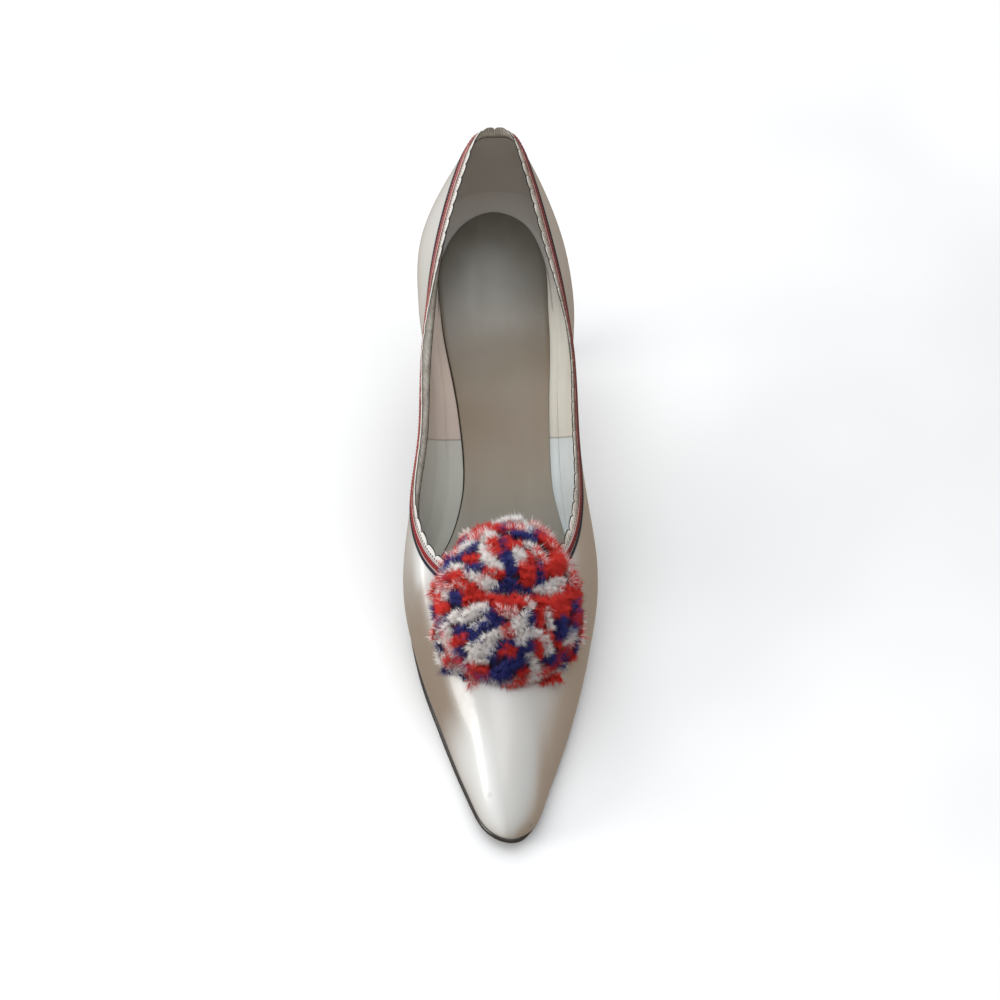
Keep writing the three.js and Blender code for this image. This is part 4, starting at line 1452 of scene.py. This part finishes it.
def makePompomBody():
    # Body under the yarn: its dark red and navy are painted shade between the strands
    heightAt = carrierHeights([upper, redRibbon, navyRibbon, edgingPiece])
    levels = [(0.0, 0), (0.35, 0), (0.7, 0), (0.88, 0), (0.95, 1), (0.86, 1), (0.7, 1), (0.55, 1),
              (0.4, 1), (0.2, 1), (0.0, 1)]

    def bodyPlace(s, t):
        share, isTop = levels[round(t * (len(levels) - 1))]
        p = share * pompom["width"] / 2 * math.sin(2 * math.pi * s)
        q = share * pompom["length"] / 2 * math.cos(2 * math.pi * s)
        under = max(-pompom["rimDroop"] * share**2, heightAt(p, q) + 0.4)
        return pomPlace(p, q, max(under + 0.6, yarnHeight(p, q) - 1.0) if isTop else under)

    made, shader = newMaterial("pompomShadeBody", pompom["shadeBody"], 0.9)
    shadeBody = mixOf(made, rangeOf(made, noiseOf(made, objectPlace(made), 260, 2), 0.4, 0.6),
                 pompom["shadeBodyRed"], pompom["shadeBodyNavy"])
    plug(made, shadeBody, shader, "Base Color")
    bm = carriedGrid(96, len(levels) - 1, bodyPlace)
    settle(finishMesh(bm, "pompom_body", [made]), "pompom_fringe", "pompom")


def hairsOfRun(rng, run, lower):
    # Tufts of hairs that stand all round the upper part of one run of yarn
    letter, p0, q0, p1, q1, width = run
    radius, length = width / 2, math.hypot(p1 - p0, q1 - q0)
    area = (length + width * tuft["widthShare"]) * width
    side0 = (yarnPoint(p1, q1) - yarnPoint(p0, q0)).normalized()
    over = tuft["overhang"] * radius
    made = []
    for _ in range(int(area * pompom["hairsPerArea"] / tuft["hairs"])):
        reach = rng.uniform(-over, length + over)
        beyond = min(0, reach) + max(0, reach - length)
        share = min(1, max(0, reach / max(length, 0.01)))
        p, q = p0 + (p1 - p0) * share, q0 + (q1 - q0) * share
        normal = yarnNormal(p, q)
        side = (side0 - normal * side0.dot(normal)).normalized()
        away = side.cross(normal)
        turn = rng.uniform(-tuft["turn"], tuft["turn"])
        lean = rng.gauss(0, tuft["lean"]) + tuft["endLean"] * beyond / max(radius, 0.5)
        toward = (normal * math.cos(turn) + away * math.sin(turn) + side * lean).normalized()
        reachOut = (radius + tuft["reach"]) * rng.uniform(*tuft["reachRange"])
        reachOut *= tuft["long"] if rng.random() < tuft["longShare"] else 1
        base = yarnPoint(p, q) - pomUp * lower + side * beyond * 0.5
        key = rng.choice("rw") if letter == "p" else letter
        pale = tuft["pinkTone"] if letter == "p" else 0.0
        for _ in range(tuft["hairs"]):
            wild = Vector([rng.gauss(0, tuft["wild"]) for _ in range(3)])
            spot = Vector([rng.gauss(0, wide) for wide in tuft["spread"]])
            made.append((key, base + spot, (toward + wild).normalized(),
                         reachOut * rng.uniform(*tuft["hairRange"]), rng.random() + pale))
    return made


def makeFringe():
    rng = random.Random(pompom["seed"])
    hairs = {key: [] for key in fringeColors}
    runs = [(chartedRun(*run), 0.0) for run in yarnChart]
    for k in range(pompom["rimRuns"]):
        # Runs tucked under the rim close the pompom towards the shoe
        angle, span = 2 * math.pi * k / pompom["rimRuns"], math.pi / pompom["rimRuns"]
        ends = []
        for turn in (angle - span, angle + span):
            ends += [pompom["rimShare"] * pompom["width"] / 2 * math.sin(turn),
                     pompom["rimShare"] * pompom["length"] / 2 * math.cos(turn)]
        runs.append(((rng.choice("rrwwnp"), *ends, pompom["rimWidth"]), pompom["rimLower"]))
    for run, lower in runs:
        for key, *hair in hairsOfRun(rng, run, lower):
            hairs[key].append(hair)
    for _ in range(pompom["strays"]):
        # A few long dark hairs stand out at the left edge
        p, q = rng.uniform(*pompom["strayAcross"]), rng.uniform(*pompom["strayOnward"])
        out = (-pomAcross + pomUp * rng.uniform(0, 0.5) + pomForward * rng.gauss(0, 0.5)).normalized()
        hairs["n"].append((yarnPoint(p, q), out, rng.uniform(*pompom["strayLength"]), 0.0))
    for key, (name, rootColor, tipColor) in fringeColors.items():
        fringePiece(name, hairs[key], fringeMaterial(name, rootColor, tipColor))


def fringePiece(name, hairs, made):
    # Each hair is a closed three-sided spike
    roots = np.array([toFrame(hair[0]) for hair in hairs])
    directions = np.array([hair[1] for hair in hairs])
    lengths = np.array([hair[2] for hair in hairs])[:, None] * mm
    tones = np.array([hair[3] for hair in hairs])
    helper = np.where(np.abs(directions[:, 2:3]) > 0.9, [[1.0, 0.0, 0.0]], [[0.0, 0.0, 1.0]])
    first = np.cross(directions, helper)
    first /= np.linalg.norm(first, axis=1, keepdims=True)
    second = np.cross(directions, first)
    radius = pompom["hairRadius"] * mm
    turns = [2 * math.pi * k / 3 for k in range(3)]
    points = [roots + (first * math.cos(turn) + second * math.sin(turn)) * radius for turn in turns]
    points = np.stack([*points, roots + directions * lengths], axis=1)
    pattern = [(0, 2, 1), (0, 1, 3), (1, 2, 3), (2, 0, 3)]
    triangles = np.array(pattern)[None] + 4 * np.arange(len(hairs))[:, None, None]
    piece = meshFromArrays(name, points.reshape(-1, 3), triangles.reshape(-1, 3), [made])
    tone = piece.data.attributes.new("tone", "FLOAT", "POINT")
    # Tone rises from root to tip, painted shade at the roots, and varies at random per hair
    along = np.array([0.0, 0.0, 0.0, 0.85])
    values = np.clip(along[None] + 0.4 * (tones[:, None] - 0.3), 0, 1)
    tone.data.foreach_set("value", values.astype(np.float32).ravel())
    print(name, len(hairs) * len(pattern), "triangles")
    return settle(piece, "pompom_fringe")


makePompomBody()
makeFringe()
print("pompom ready")

# Floor, light and camera
stage = {
    "floorSize": 6.0,
    "floor": (0.95, 0.95, 0.95),
    "floorCloud": (0.875, 0.875, 0.87),
    "keyColor": (1.0, 0.98, 0.95),
    "keyPower": 9.5,
    "keySize": 0.6,
    "keyPlace": (-1.35, -0.36, 0.53),
    "topColor": (0.97, 0.99, 1.0),
    "topPower": 43,
    "topSize": 2.4,
    "topPlace": (-0.15, 0.25, 2.3),
    "lampAim": (0, -0.1, 0.05),
    "skySteps": [(0.44, (0.36, 0.30, 0.24)), (0.52, (0.34, 0.29, 0.24)), (0.80, (0.44, 0.45, 0.47))],
    "skyStrength": 1.0,
}


def makeFloor():
    bm = bmesh.new()
    bmesh.ops.create_grid(bm, x_segments=2, y_segments=2, size=stage["floorSize"] / 2)
    made, shader = newMaterial("paleFloor", stage["floor"], 0.8, {"Specular IOR Level": 0.2})
    grain = noiseOf(made, objectPlace(made), 6, 2)
    tone = mixOf(made, rangeOf(made, grain, 0.3, 0.7), stage["floor"], stage["floorCloud"])
    plug(made, tone, shader, "Base Color")
    floor = finishMesh(bm, "floor", [made])
    floor.visible_diffuse = False
    floor.visible_glossy = False


def makeWorld():
    world = bpy.data.worlds.new("studio")
    bpy.context.scene.world = world
    world.use_nodes = True
    background = world.node_tree.nodes["Background"]
    upward = addNode(world, "SeparateXYZ", {0: addNode(world, "TexCoord").outputs["Generated"]}).outputs["Z"]
    height = addNode(world, "MapRange", {"Value": upward, "From Min": -1}).outputs[0]
    ramp = addNode(world, "ValToRGB", {0: height})
    ramp.color_ramp.elements.new(0.5)
    for element, (position, color) in zip(ramp.color_ramp.elements, stage["skySteps"]):
        element.position, element.color = position, (*color, 1)
    world.node_tree.links.new(ramp.outputs["Color"], background.inputs["Color"])
    background.inputs["Strength"].default_value = stage["skyStrength"]


def makeLight(name):
    data = bpy.data.lights.new(name, "AREA")
    data.shape = "SQUARE"
    data.size = stage[name + "Size"]
    data.energy = stage[name + "Power"]
    data.color = stage[name + "Color"]
    lamp = bpy.data.objects.new(name, data)
    lamp.location = stage[name + "Place"]
    toward = Vector(stage["lampAim"]) - Vector(stage[name + "Place"])
    lamp.rotation_euler = toward.to_track_quat("-Z", "Y").to_euler()
    bpy.context.scene.collection.objects.link(lamp)


def makeCamera():
    data = bpy.data.cameras.new("camera")
    data.sensor_width = camera["sensor"]
    data.lens = camera["sensor"] * camera["focalPixels"] / camera["framePixels"]
    data.shift_x = (camera["framePixels"] / 2 - camera["aimPixel"][0]) / camera["framePixels"]
    data.shift_y = (camera["aimPixel"][1] - camera["framePixels"] / 2) / camera["framePixels"]
    data.clip_start = 0.01
    eye = bpy.data.objects.new("camera", data)
    eye.matrix_world = cameraFrame()
    bpy.context.scene.collection.objects.link(eye)
    bpy.context.scene.camera = eye


makeFloor()
makeWorld()
makeLight("key")
makeLight("top")
makeCamera()
bpy.context.scene.view_settings.view_transform = "Standard"
print("stage ready")
